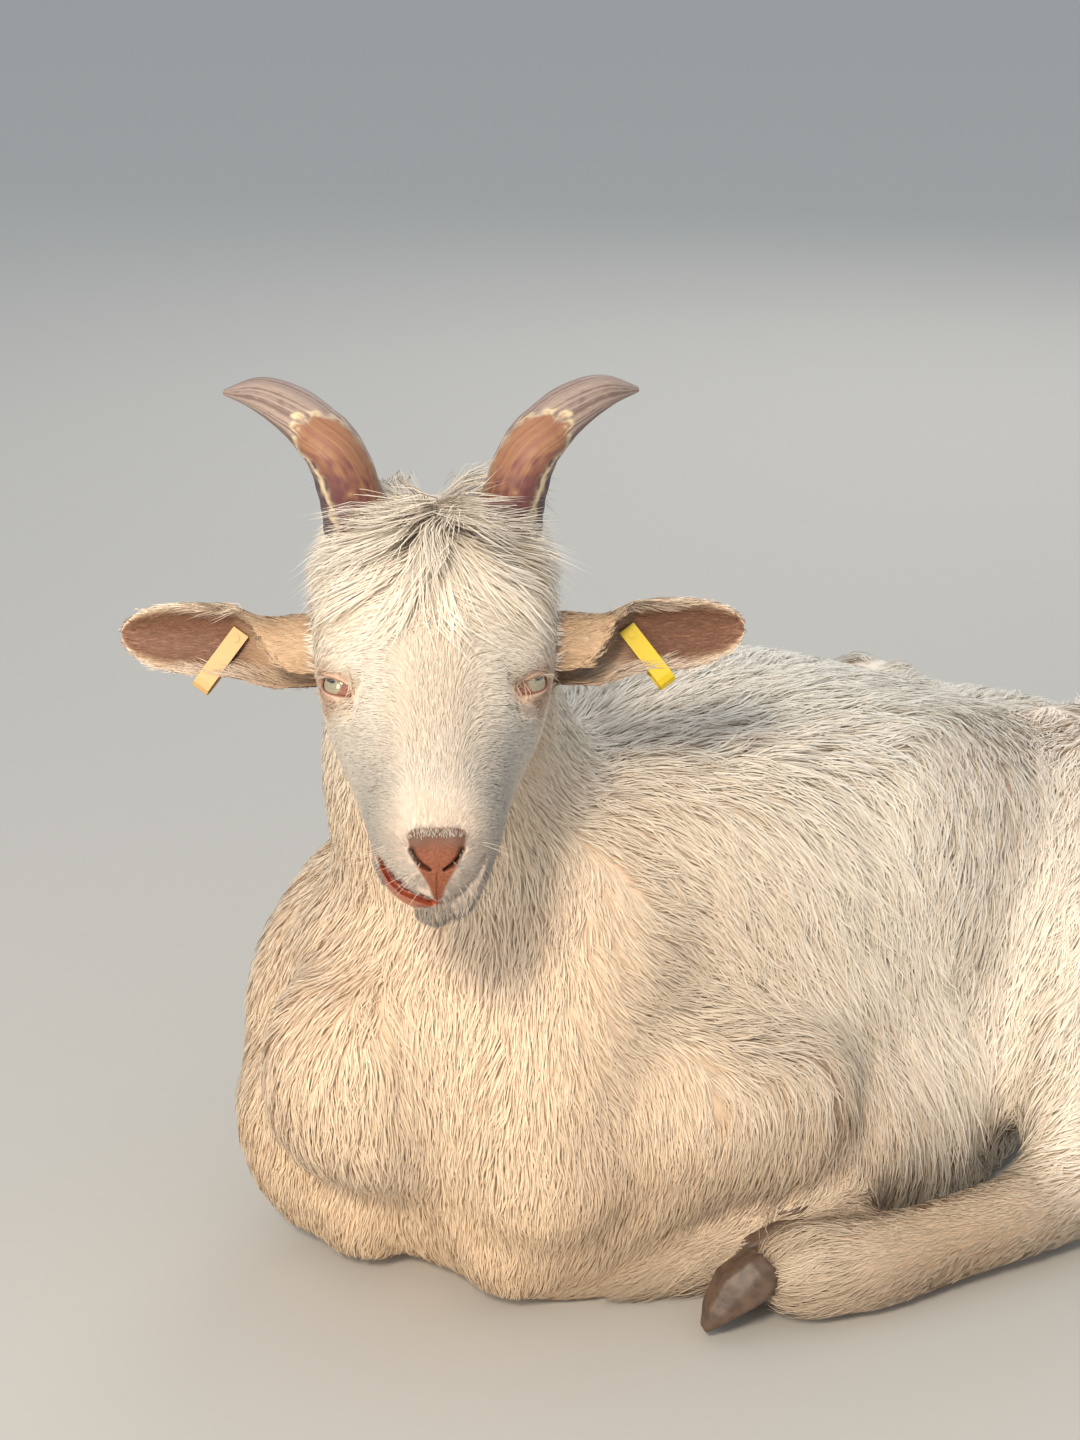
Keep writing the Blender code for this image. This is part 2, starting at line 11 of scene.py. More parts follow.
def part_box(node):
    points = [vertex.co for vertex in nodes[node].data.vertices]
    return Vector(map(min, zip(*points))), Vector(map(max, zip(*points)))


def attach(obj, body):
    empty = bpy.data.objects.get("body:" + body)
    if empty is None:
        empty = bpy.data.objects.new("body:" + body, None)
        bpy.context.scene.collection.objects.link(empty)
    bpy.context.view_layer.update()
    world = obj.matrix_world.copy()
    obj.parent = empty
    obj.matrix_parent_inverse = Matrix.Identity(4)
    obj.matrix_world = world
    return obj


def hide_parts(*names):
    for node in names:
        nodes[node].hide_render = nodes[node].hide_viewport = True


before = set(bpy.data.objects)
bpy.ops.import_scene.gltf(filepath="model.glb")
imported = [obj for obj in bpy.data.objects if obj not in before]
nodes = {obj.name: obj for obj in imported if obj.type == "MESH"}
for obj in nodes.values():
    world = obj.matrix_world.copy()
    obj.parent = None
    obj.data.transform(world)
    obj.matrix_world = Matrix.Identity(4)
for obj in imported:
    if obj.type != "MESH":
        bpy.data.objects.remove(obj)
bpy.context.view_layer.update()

# The head's own axes, found from the two eyes: towards the nose, to the goat's left, and up out of
# the forehead, as n, l and u below. The body is measured from the ground between the folded knees, as
# x, y and z: to the goat's left, towards its tail, and up.
HEAD_BOW = math.radians(27)
HEAD_FROM_KNEES = np.array((0.100, -0.079, 0.420))


def middle_of(name):
    low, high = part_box(name)
    return (np.array(low) + np.array(high)) / 2


eye_middle = {"left": middle_of("eye_left"), "right": middle_of("eye_right")}
head_place = (eye_middle["left"] + eye_middle["right"]) / 2
knees = head_place - HEAD_FROM_KNEES
head_left = eye_middle["left"] - head_place
eye_side = np.linalg.norm(head_left)
head_left = head_left / eye_side
level_nose = np.cross(head_left, (0, 0, 1))
head_nose = level_nose * math.cos(HEAD_BOW) - np.array((0, 0, math.sin(HEAD_BOW)))
head_up = np.cross(head_nose, head_left)
head_axes = np.array((head_nose, head_left, head_up))


def from_head(local):
    return head_place + np.asarray(local, float) @ head_axes


def to_head(points):
    return (points - head_place) @ head_axes.T


# The camera stands ahead of the goat's left shoulder, higher than its head, and looks down at it. The
# place is in metres from between the eyes, and the lens in millimetres.
CAMERA_FROM_HEAD = np.array((1.171, -1.091, 0.500))
CAMERA_DROP = math.radians(18)
LENS = 77.8


def placed(name, data):
    made = bpy.data.objects.new(name, data)
    bpy.context.scene.collection.objects.link(made)
    return made


camera_data = bpy.data.cameras.new("camera")
camera_data.sensor_fit = "VERTICAL"
camera_data.sensor_height = 36
camera_data.lens = LENS
camera = placed("camera", camera_data)
camera.location = head_place + CAMERA_FROM_HEAD
sight = Vector((-math.cos(CAMERA_DROP), math.cos(CAMERA_DROP), -math.sqrt(2) * math.sin(CAMERA_DROP)))
camera.rotation_euler = sight.to_track_quat("-Z", "Y").to_euler()
bpy.context.scene.camera = camera

# The studio: a pale seamless floor, a warm key lamp high at the camera's left, a wide fill lower down on
# the same side, a lamp behind that picks out the edge of the coat, and a pale blue sky. A lamp has a
# name, a place, a width, a power in watts and a colour.
FLOOR_SIZE = 30.0
SKY, SKY_STRENGTH = (0.82, 0.91, 1.0), 0.70
LAMPS = (("key", (1.75, -2.85, 2.40), 0.60, 116, (1.0, 0.87, 0.69)),
         ("fill", (0.6, -2.9, 0.9), 1.4, 34, (1.0, 0.92, 0.80)),
         ("rim", (-1.6, 2.4, 2.0), 1.6, 24, (1.0, 0.95, 0.88)))
LAMPS_AIM = Vector((0, -0.1, 0.2))

floor_mesh = bpy.data.meshes.new("floor")
reach = FLOOR_SIZE / 2
floor_mesh.from_pydata([(-reach, -reach, 0), (reach, -reach, 0), (reach, reach, 0), (-reach, reach, 0)],
                       [], [(0, 1, 2, 3)])
floor = placed("floor", floor_mesh)
floor_finish = bpy.data.materials.new("pale floor")
floor_finish.use_nodes = True
floor_shader = floor_finish.node_tree.nodes["Principled BSDF"]
floor_shader.inputs["Base Color"].default_value = (0.50, 0.48, 0.45, 1)
floor_shader.inputs["Roughness"].default_value = 0.9
floor_mesh.materials.append(floor_finish)
for name, place, size, power, colour in LAMPS:
    lamp_data = bpy.data.lights.new(name, "AREA")
    lamp_data.shape = "DISK"
    lamp_data.size = size
    lamp_data.energy = power
    lamp_data.color = colour
    lamp = placed(name, lamp_data)
    lamp.location = place
    lamp.rotation_euler = (LAMPS_AIM - Vector(place)).to_track_quat("-Z", "Y").to_euler()
world = bpy.data.worlds.new("studio")
world.use_nodes = True
world.node_tree.nodes["Background"].inputs["Color"].default_value = (*SKY, 1)
world.node_tree.nodes["Background"].inputs["Strength"].default_value = SKY_STRENGTH
bpy.context.scene.world = world
bpy.context.scene.view_settings.view_transform = "Standard"

# The hide is one skin over head, neck, trunk, legs and tail. It lies inside the solids by the depth of
# the coat, which is thin on the face and feet and deep on the trunk.
FLESH = ("head", "neck", "trunk", "tail", "foreleg_left", "foreleg_right", "hindleg_left", "hindleg_right",
         "fore_cannon_left", "fore_cannon_right", "hind_cannon_left", "hind_cannon_right")
REGIONS = ("head", "neck", "trunk", "tail", "foreleg", "hindleg", "cannon")
COAT_DEPTH = {"head": 0.0030, "neck": 0.010, "trunk": 0.013, "tail": 0.006, "foreleg": 0.008,
              "hindleg": 0.009, "cannon": 0.0035}
SKIN_GRAIN = 0.0048
CLOSE_GAPS = 0.0007


def region_of(name):
    return "cannon" if "cannon" in name else name.split("_")[0]


def step(low, high, values):
    """0 below low, 1 above high and smooth between; low may be the greater."""
    share = np.clip((values - low) / (high - low), 0, 1)
    return share * share * (3 - 2 * share)


def hill(values, middle, half):
    return np.exp(-((values - middle) / half) ** 2)


def points_of(mesh, what="co"):
    flat = np.empty(len(mesh.vertices) * 3, np.float32)
    mesh.vertices.foreach_get(what, flat)
    return flat.reshape(-1, 3).astype(float)


def edges_of(mesh):
    flat = np.empty(len(mesh.edges) * 2, np.int32)
    mesh.edges.foreach_get("vertices", flat)
    return flat.reshape(-1, 2)


def even_out(values, edges, times, share=0.5):
    """Moves each vertex's values towards the average of its neighbours', over and over."""
    values = values.astype(float).copy()
    ends = np.concatenate((edges[:, 0], edges[:, 1]))
    others = np.concatenate((edges[:, 1], edges[:, 0]))
    count = np.maximum(np.bincount(ends, minlength=len(values)), 1)
    for _ in range(times):
        for axis in range(values.shape[1]):
            near = np.bincount(ends, weights=values[others, axis], minlength=len(values)) / count
            values[:, axis] += (near - values[:, axis]) * share
    return values


def merged_solids(names, swell):
    bm = bmesh.new()
    for name in names:
        bm.from_mesh(nodes[name].data)
    bmesh.ops.remove_doubles(bm, verts=bm.verts, dist=1e-5)
    bm.normal_update()
    moves = [vert.normal * swell for vert in bm.verts]
    for vert, move in zip(bm.verts, moves):
        vert.co += move
    mesh = bpy.data.meshes.new("solids")
    bm.to_mesh(mesh)
    bm.free()
    return mesh


def remeshed(mesh, grain):
    obj = placed("solids", mesh)
    shell = obj.modifiers.new("shell", "REMESH")
    shell.mode = "VOXEL"
    shell.voxel_size = grain
    graph = bpy.context.evaluated_depsgraph_get()
    made = bpy.data.meshes.new_from_object(obj.evaluated_get(graph), depsgraph=graph)
    bpy.data.objects.remove(obj)
    return made


def coat_depth(points, normals, shares):
    """How far the skin lies under the tips of the coat, which is also how far the hair stands off it."""
    y = (points - knees)[:, 1]
    n = to_head(points)[:, 0]
    on_head = shares[:, REGIONS.index("head")]
    depth = shares @ np.array([COAT_DEPTH[region] for region in REGIONS])
    depth *= 1 - 0.42 * (1 - on_head) * step(0.20, 0.04, y)
    depth += 0.004 * on_head * step(-0.02, -0.07, n)
    depth *= 1 - 0.45 * on_head * step(0.07, 0.10, n)
    return depth * (1 - 0.8 * step(0.030, 0.008, points[:, 2]) * step(-0.2, -0.7, normals[:, 2]))


hide = remeshed(merged_solids(FLESH + ("eye_left", "eye_right"), CLOSE_GAPS), SKIN_GRAIN)
hide_points = points_of(hide)
hide_edges = edges_of(hide)

# Each point of the hide belongs to a part of the body, as shares that run into one another. The hide is
# then drawn in under the coat and evened out, so that one part flows into the next.
solid_points, solid_faces, solid_region = [], [], []
for name in FLESH:
    mesh = nodes[name].data
    start = len(solid_points)
    solid_points += [tuple(vert.co) for vert in mesh.vertices]
    for face in mesh.polygons:
        solid_faces.append([start + i for i in face.vertices])
        solid_region.append(REGIONS.index(region_of(name)))
solid_tree = BVHTree.FromPolygons(solid_points, solid_faces)
nearest_region = [solid_region[solid_tree.find_nearest(Vector(spot))[2]] for spot in hide_points]
shares = np.zeros((len(hide_points), len(REGIONS)))
shares[np.arange(len(hide_points)), nearest_region] = 1
shares = even_out(shares, hide_edges, 40)

hide_points = even_out(hide_points, hide_edges, 12)
hide.vertices.foreach_set("co", hide_points.astype(np.float32).ravel())
hide.update()
hide_normals = points_of(hide, "normal")
hide_points -= hide_normals * coat_depth(hide_points, hide_normals, shares)[:, None]
hide_points = even_out(hide_points, hide_edges, 6)
hide.vertices.foreach_set("co", hide_points.astype(np.float32).ravel())
for k, region in enumerate(REGIONS):
    layer = hide.attributes.new(region, "FLOAT", "POINT")
    layer.data.foreach_set("value", shares[:, k].astype(np.float32))

# The face is worked finer than the rest: the hide is divided again over the head, more round the eyes and
# over the muzzle, and most over the nose and lips. Muzzle places are in millimetres on the plane that
# faces up and forward at 45 degrees: across to the goat's left, and up from the middle of the nose.
NOSE_MIDDLE = -0.0891


def on_muzzle(points):
    spots = to_head(points)
    across = spots[:, 1] * 1000
    over = ((spots[:, 2] - spots[:, 0]) / math.sqrt(2) - NOSE_MIDDLE) * 1000
    return across, over, spots


def gap_to(points, places):
    """How far each point is from the nearer of two places."""
    return np.minimum(*(np.linalg.norm(points - place, axis=1) for place in places))


def eye_distance(points):
    return gap_to(points, eye_middle.values())


def by_head(points):
    n, l, u = to_head(points).T
    return (np.abs(l) < 0.1) & (n < 0.16) & (u > -0.075)


def wants_half(points):
    return to_head(points)[:, 0] > -0.085


def wants_quarter(points):
    return (to_head(points)[:, 0] > 0.078) | (eye_distance(points) < 0.027)


def wants_eighth(points):
    across, over, spots = on_muzzle(points)
    ahead = (spots[:, 0] > 0.092) & (spots[:, 0] + spots[:, 2] > 0.045)
    return ahead & (np.abs(across) < 35) & (over > -30) & (over < 19)


bm = bmesh.new()
bm.from_mesh(hide)
for wanted in (wants_half, wants_quarter, wants_eighth):
    spots = np.array([vert.co for vert in bm.verts])
    inside = wanted(spots) & by_head(spots)
    chosen = [edge for edge in bm.edges if inside[edge.verts[0].index] and inside[edge.verts[1].index]]
    bmesh.ops.subdivide_edges(bm, edges=chosen, cuts=1, use_grid_fill=True)
    bm.verts.index_update()
    spots = np.array([vert.co for vert in bm.verts])
    pairs = np.array([(edge.verts[0].index, edge.verts[1].index) for edge in bm.edges])
    soft = even_out(spots, pairs, 4)
    moved = wanted(spots) & by_head(spots)
    for vert, place, move in zip(bm.verts, soft, moved):
        if move:
            vert.co = place
bmesh.ops.triangulate(bm, faces=bm.faces)
bm.to_mesh(hide)
bm.free()


def along_path(x, y, path):
    """Distance of each point from a path, and how far along it, 0 to 1, the nearest spot is."""
    path = np.array(path, float)
    pieces = np.linalg.norm(np.diff(path, axis=0), axis=1)
    starts = np.concatenate(([0], np.cumsum(pieces)))
    best = np.full(len(x), 1e9)
    along = np.zeros(len(x))
    for k, piece in enumerate(pieces):
        way = (path[k + 1] - path[k]) / piece
        t = np.clip((x - path[k, 0]) * way[0] + (y - path[k, 1]) * way[1], 0, piece)
        gap = np.hypot(x - path[k, 0] - way[0] * t, y - path[k, 1] - way[1] * t)
        closer = gap < best
        best[closer] = gap[closer]
        along[closer] = ((starts[k] + t) / starts[-1])[closer]
    return best, along


# The muzzle's lines in those millimetres: a nostril, the groove under the nose, one edge of the bare
# nose as rows of height and half width, the lips of the mouth's open right side, and its shut left side.
NOSTRIL = ((3.6, -6.4), (7.5, -3.9), (11.0, -0.4), (12.8, 3.4))
PHILTRUM = ((0, -8.5), (0, -23.5))
NOSE_HALF = ((-23.4, 1.0), (-20.8, 2.6), (-15.5, 4.4), (-11.0, 6.8), (-3.7, 11.2), (4.3, 14.3), (11.4, 15.6),
             (14.0, 13.5), (15.6, 9.0))
UPPER_LIP = ((-30.2, 2.3), (-25.7, -3.7), (-19.6, -9.8), (-13.6, -15.8), (-5.5, -19.8), (0, -23.3))
LOWER_LIP_IN = ((-30.0, 1.3), (-28.7, -0.7), (-26.2, -7.7), (-23.6, -12.8), (-17.6, -18.3),
                (-11.6, -20.6), (-3.5, -22.3), (0, -23.3))
LOWER_LIP_OUT = ((-30.4, 1.6), (-30.0, -6.7), (-26.7, -15.8), (-20.6, -23.3), (-13.6, -26.4),
                 (-5.5, -25.7), (0, -23.6))
SHUT_MOUTH = ((0, -23.3), (6.5, -22.3), (14.6, -16.8), (20.6, -8.7), (25, 0))
OFF_MUZZLE = (head_nose + head_up) / math.sqrt(2)
DOWN_MUZZLE = (head_nose - head_up) / math.sqrt(2)


def level(across, path):
    xs, ys = zip(*path)
    return np.interp(across, xs, ys)


def muzzle_marks(points):
    """Shares of bare nose, open mouth and wet lower lip at each point of the hide."""
    across, over, spots = on_muzzle(points)
    ahead = step(0.085, 0.097, spots[:, 0])
    rows, halves = zip(*NOSE_HALF)
    half = np.interp(over, rows, halves, left=0, right=0)
    nose = step(-0.8, 1.2, half - np.abs(across)) * step(-23.6, -22, over) * step(16.6, 14.0, over) * ahead
    top, low, out = (level(across, path) for path in (UPPER_LIP, LOWER_LIP_IN, LOWER_LIP_OUT))
    within = (across > -30.4) & (across < 1.5)
    mouth = step(-0.2, 0.8, top - over) * step(-0.2, 0.8, over - low) * within * ahead
    lip = step(-0.7, 0.3, low + 0.3 - over) * step(-1.8, -0.4, over - out) * within * ahead
    return nose, mouth, lip


# How much of the chin's drop there is at each place across it.
CHIN_WIDTH = ((-33, 0), (-27, 0.4), (-20, 0.85), (-8, 0.9), (6, 1), (15, 1), (21, 0.7), (27, 0.25), (31, 0))


def chin_share(points):
    """How far each point is down on the chin, below the edge of the lower lip."""
    across, over, spots = on_muzzle(points)
    edge = np.where(across < 0, level(across, LOWER_LIP_OUT), level(across, SHUT_MOUTH) - 0.6)
    chin = step(1.0, -1.5, over - edge) * step(0.05, 0.085, spots[:, 0]) * level(across, CHIN_WIDTH)
    return chin * (spots[:, 2] > -0.095)


# The nose and lips stand out of the hide with the nostrils, the groove and the mouth sunk into it, the
# muzzle is hollow beside its bridge, and the brow is full over each eye. Out and inward are millimetres.
CHIN_DROP = 0.0090
hide_points = points_of(hide)
hide_normals = points_of(hide, "normal")
across, over, spots = on_muzzle(hide_points)
ahead = step(0.085, 0.097, spots[:, 0]) * step(0.0, 0.25, hide_normals @ OFF_MUZZLE)
nose, mouth, lip = muzzle_marks(hide_points)
out = 0.8 * nose
inward = 8.0 * mouth
for side in (1, -1):
    gap, along = along_path(across * side, over, NOSTRIL)
    inward += (4.5 + 2.5 * along) * np.exp(-(gap / (0.55 + 0.9 * along)) ** 2)
    out += 1.3 * hill(across * side, 10.5, 5) * hill(over, 7.5, 5)
    out += 1.5 * hill(across * side, 9.5, 3.6) * hill(over, -7.5, 4.5)
    out += 0.9 * hill(across * side, 5.0, 4) * hill(over, -18, 5)
    hollow = hill(spots[:, 1] * side, 0.021, 0.009) * step(0.015, 0.04, spots[:, 0])
    out -= 1.6 * hollow * step(0.095, 0.075, spots[:, 0]) * step(-0.2, 0.3, hide_normals @ OFF_MUZZLE)
    brow_middle = np.array((-0.010, (eye_side + 0.002) * side, 0.019))
    brow = np.linalg.norm((spots - brow_middle) / (16, 11, 8) * 1000, axis=1)
    out += 2.2 * np.exp(-brow ** 2)
gap = along_path(across, over, PHILTRUM)[0]
inward += 1.1 * np.exp(-(gap / 0.55) ** 2)
gap = along_path(across, over, SHUT_MOUTH)[0]
inward += 1.6 * np.exp(-(gap / 0.8) ** 2)
gap = along_path(across, over, UPPER_LIP)[0]
out += 1.1 * np.exp(-((gap - 1.4) / 1.6) ** 2) * (mouth < 0.3)
out += 2.0 * lip
hide_points += DOWN_MUZZLE * (chin_share(hide_points) * CHIN_DROP)[:, None]
hide_points += hide_normals * (out * 0.001)[:, None]
hide_points -= OFF_MUZZLE * (inward * ahead * 0.001)[:, None]
hide.vertices.foreach_set("co", hide_points.astype(np.float32).ravel())
hide.update()

# The eyelids are soft rims round a half-shut slit. Each is a ring that starts on the eyeball and runs out
# over the brow and cheek until it sinks into the hide. Angles are degrees round the middle of the eye,
# and the two directions are the left eye's, in the head's axes.
EYE_RADIUS = 0.0135
LOOK = (0.469, 0.685, 0.557)
TOWARDS_NOSE = (0.697, -0.675, 0.2425)
SLIT = {"outer": -46, "inner": 68, "corner": -3.6, "upper": 17.0, "lower": 14.5}
LID_STEPS = (0, 0, 1.6, 5, 10, 16, 23, 30, 36)
LID_SIDES = 72
LID_THICKNESS, LID_SWELL, LID_FOLD = 0.0007, 0.0011, 0.0013
FARTHEST_HIDE = 0.030
EYE_CLEARING = 0.034


def unit(vectors):
    return vectors / np.maximum(np.linalg.norm(vectors, axis=-1, keepdims=True), 1e-9)


def eye_axes(side):
    """Out of the pupil, towards the nose, and up: three directions, for side 1 or -1."""
    flip = np.array((1, side, 1))
    look = unit(np.array(LOOK) * flip @ head_axes)
    nose_way = np.array(TOWARDS_NOSE) * flip @ head_axes
    nose_way = unit(nose_way - look * (nose_way @ look))
    above = np.cross(look, nose_way) * -side
    return look, nose_way, above


def eye_way(side, sideways, upward):
    """Directions from the middle of the eye at angles towards the nose and up, in degrees."""
    look, nose_way, above = eye_axes(side)
    turn, lift = np.radians(sideways)[..., None], np.radians(upward)[..., None]
    return look * np.cos(turn) * np.cos(lift) + nose_way * np.sin(turn) * np.cos(lift) + above * np.sin(lift)


def slit_edge(turns):
    """The slit's edge, as angles: it starts at the inner corner and runs over the upper lid."""
    middle, half = (SLIT["outer"] + SLIT["inner"]) / 2, (SLIT["inner"] - SLIT["outer"]) / 2
    sideways = middle + half * np.cos(turns)
    share = np.clip((sideways - SLIT["outer"]) / (2 * half), 0, 1)
    upper = np.sin(math.pi * share) ** 0.6 * SLIT["upper"]
    lower = np.sin(math.pi * share ** 0.7) ** 0.6 * SLIT["lower"]
    return sideways, SLIT["corner"] + np.where(np.sin(turns) > 0, upper, -lower)


def even_ring(values, times):
    for _ in range(times):
        values = values * 0.5 + (np.roll(values, 1, axis=0) + np.roll(values, -1, axis=0)) * 0.25
    return values


def lid_rings(side, tree, middle):
    turns = np.linspace(0, 2 * math.pi, LID_SIDES, endpoint=False)
    sideways, upward = slit_edge(turns)
    edge = np.stack((sideways, upward), axis=1)
    run = np.roll(edge, -1, axis=0) - np.roll(edge, 1, axis=0)
    outward = even_ring(unit(np.stack((run[:, 1], -run[:, 0]), axis=1)), 4)
    rows = []
    for k, far in enumerate(LID_STEPS):
        spread = edge + outward * far
        ways = eye_way(side, spread[:, 0], spread[:, 1])
        surface = []
        for way in ways:
            hit = tree.ray_cast(Vector(middle), Vector(way))[0]
            surface.append(min(FARTHEST_HIDE, (hit - Vector(middle)).length) if hit else FARTHEST_HIDE)
        surface = even_ring(np.array(surface)[:, None], 3)[:, 0]
        rim = EYE_RADIUS + (0.0001 if k == 0 else LID_THICKNESS + LID_SWELL * step(0, 7, far))
        share = step(3, 27, far)
        radius = rim * (1 - share) + (surface + 0.0004) * share
        fold = LID_FOLD * hill(far, 9, 3.0) * step(0.1, 0.6, np.sin(turns))
        radius = np.maximum(radius - fold, EYE_RADIUS + (0 if k == 0 else 0.0006))
        radius = radius - (0.0006 if k == len(LID_STEPS) - 1 else 0)
        rows.append(middle + ways * radius[:, None])
    return np.array(rows)


hide_tree = BVHTree.FromPolygons([tuple(p) for p in hide_points], [tuple(f.vertices) for f in hide.polygons])
skin_points, skin_faces = [hide_points], []
hide_corners = np.empty(len(hide.polygons) * 3, np.int32)
hide.polygons.foreach_get("vertices", hide_corners)
skin_faces.append(hide_corners.reshape(-1, 3))
skin_shares = np.empty((len(hide_points), len(REGIONS)))
for k, region in enumerate(REGIONS):
    column = np.empty(len(hide_points), np.float32)
    hide.attributes[region].data.foreach_get("value", column)
    skin_shares[:, k] = column


def grid_faces(rows, columns, start, closed, flip=False):
    """Triangles over a grid of points numbered row by row from start. Closed rows are rings."""
    made = []
    for r in range(rows - 1):
        for c in range(columns if closed else columns - 1):
            d = (c + 1) % columns
            a, b = start + r * columns + c, start + r * columns + d
            e, f = start + (r + 1) * columns + d, start + (r + 1) * columns + c
            made += [(a, b, e), (a, e, f)]
    made = np.array(made)
    return made[:, ::-1] if flip else made


lid_mark = [np.zeros(len(hide_points))]
lid_way = [np.zeros((len(hide_points), 3))]
buried = np.zeros(len(hide_points))
for name, side in (("left", 1), ("right", -1)):
    middle = eye_middle[name]
    rings = lid_rings(side, hide_tree, middle)
    start = sum(len(points) for points in skin_points)
    skin_points.append(rings.reshape(-1, 3))
    skin_faces.append(grid_faces(len(LID_STEPS), LID_SIDES, start, True, flip=side < 0))
    lid_mark.append(np.repeat(np.exp(-np.array(LID_STEPS) / 9.0), LID_SIDES))
    lid_way.append(np.gradient(rings, axis=0).reshape(-1, 3))
    # The hide itself drops away under the lids.
    away = hide_points - middle
    distance = np.linalg.norm(away, axis=1)
    ways = away / distance[:, None]
    look, nose_way, above = eye_axes(side)
    sideways = np.degrees(np.arctan2(ways @ nose_way, ways @ look))
    upward = np.degrees(np.arcsin(np.clip(ways @ above, -1, 1)))
    edge = np.stack(slit_edge(np.linspace(0, 2 * math.pi, 48)), axis=1)
    # A trace of slope keeps apart the points of the edge that would fall together.
    gap, _ = along_path(sideways, upward, edge + np.linspace(0, 1e-6, 48)[:, None])
    low_edge = np.interp(sideways, *zip(*sorted(map(tuple, edge[24:]))))
    top_edge = np.interp(sideways, *zip(*sorted(map(tuple, edge[:25]))))
    inside = (upward > low_edge) & (upward < top_edge)
    gap[inside] = 0
    under = step(26, 14, gap) * (distance < EYE_CLEARING)
    buried = np.maximum(buried, under)
    target = np.minimum(distance, EYE_RADIUS - 0.0015)
    distance = distance * (1 - under) + target * under
    near_lids = (under <= 0.98) & (distance < EYE_CLEARING)
    distance = np.where(near_lids, np.maximum(distance, EYE_RADIUS + 0.0002), distance)
    hide_points[:] = middle + ways * distance[:, None]

# Each ear is a cupped strap with a round tip. Its root is rolled into a tube with the slit below, and
# it turns open towards the nose over its outer half. It is a few millimetres thick with a round rim.
EAR_ROOT = (-0.046, 0.054, -0.012)
EAR_TIP = (-0.070, 0.174, -0.026)
EAR_FACES = (0.82, 0, 0.57)
EAR_HALF = 0.0185
EAR_WALL = 0.0007
EAR_ROWS, EAR_COLUMNS = 48, 26


def ear_sheet(side, u, v):
    """Places on the middle of the ear's wall: u is 0 at the root and 1 at the tip, v -1 below to 1 above."""
    flip = np.array((1, side, 1))
    root, tip = np.array(EAR_ROOT) * flip, np.array(EAR_TIP) * flip
    along = unit(tip - root)
    opening = unit(np.array(EAR_FACES) - along * (np.array(EAR_FACES) @ along))
    across = np.cross(opening, along) * side
    half = EAR_HALF + 0.0020 * np.sin(math.pi * np.clip(u, 0, 1))
    half = half * np.sqrt(np.maximum(0.015, 1 - np.maximum(0, (u - 0.60) / 0.402) ** 2.4))
    spread = step(0.12, 0.52, u)
    wrap = np.radians(150 - 98 * spread)
    roll = np.radians(62 * (1 - spread))
    reach = half / np.sin(np.minimum(wrap, math.pi / 2))
    turn = wrap * v
    sideways = reach * np.sin(turn)
    forward = reach * (np.cos(wrap / 2) - np.cos(turn))
    over = sideways * np.cos(roll) - forward * np.sin(roll)
    out = sideways * np.sin(roll) + forward * np.cos(roll)
    length = np.linalg.norm(tip - root)
    local = root + along * (length * u)[..., None] + across * over[..., None] + opening * out[..., None]
    return from_head(local)


ear_marks = [np.zeros((sum(len(p) for p in skin_points), 3))]
for name, side in (("left", 1), ("right", -1)):
    u = (1 - (1 - np.linspace(0, 1, EAR_ROWS)) ** 1.35) * 1.10 - 0.10
    # Once round the strap: up its hollow from the lower rim, and down its back.
    around = np.concatenate((np.linspace(-1, 1, EAR_COLUMNS), np.linspace(1, -1, EAR_COLUMNS)))
    face_side = np.repeat((-1.0, 1.0), EAR_COLUMNS)
    rim = np.sqrt(np.maximum(0, 1 - np.abs(around) ** 8))
    uu, vv = np.meshgrid(u, around * 0.995, indexing="ij")
    middle = ear_sheet(side, uu, vv)
    du = ear_sheet(side, uu + 0.004, vv) - ear_sheet(side, uu - 0.004, vv)
    dv = ear_sheet(side, uu, vv + 0.004) - ear_sheet(side, uu, vv - 0.004)
    wall_normal = unit(np.cross(du, dv) * -side)
    thin = np.minimum(1, (1.001 - uu) / 0.03) ** 0.5
    spots = middle + wall_normal * (face_side * rim * EAR_WALL)[None, :, None] * thin[..., None]
    start = sum(len(points) for points in skin_points)
    skin_points.append(spots.reshape(-1, 3))
    skin_faces.append(grid_faces(EAR_ROWS, 2 * EAR_COLUMNS, start, True, flip=side > 0))
    hollow = np.broadcast_to(face_side < 0, uu.shape)
    ear_marks.append(np.stack((np.clip(uu, 0, 1), hollow * 1.0, np.abs(vv)), axis=2).reshape(-1, 3))
    lid_mark.append(np.zeros(uu.size))
    lid_way.append(np.zeros((uu.size, 3)))

# Hide, eyelids and ears make the one skin. The ears' marks are how far along the ear a place is, whether
# it is in the hollow, and how near it is to the rim.
skin_points = np.concatenate(skin_points)
skin_faces = np.concatenate(skin_faces)
lid_mark = np.concatenate(lid_mark)
lid_way = np.concatenate(lid_way)
ear_marks = np.concatenate(ear_marks)
ear_along, ear_hollow, ear_edge = ear_marks.T
more = len(skin_points) - len(skin_shares)
skin_shares = np.concatenate((skin_shares, np.tile(np.eye(len(REGIONS))[0], (more, 1))))
is_ear = np.zeros(len(skin_points))
is_ear[-2 * EAR_ROWS * 2 * EAR_COLUMNS:] = 1


def mesh_from(name, points, faces):
    mesh = bpy.data.meshes.new(name)
    mesh.vertices.add(len(points))
    mesh.vertices.foreach_set("co", np.ascontiguousarray(points, np.float32).ravel())
    mesh.loops.add(faces.size)
    mesh.loops.foreach_set("vertex_index", np.ascontiguousarray(faces, np.int32).ravel())
    mesh.polygons.add(len(faces))
    mesh.polygons.foreach_set("loop_start", np.arange(len(faces), dtype=np.int32) * faces.shape[1])
    mesh.polygons.foreach_set("use_smooth", np.ones(len(faces), bool))
    mesh.update(calc_edges=True)
    return mesh


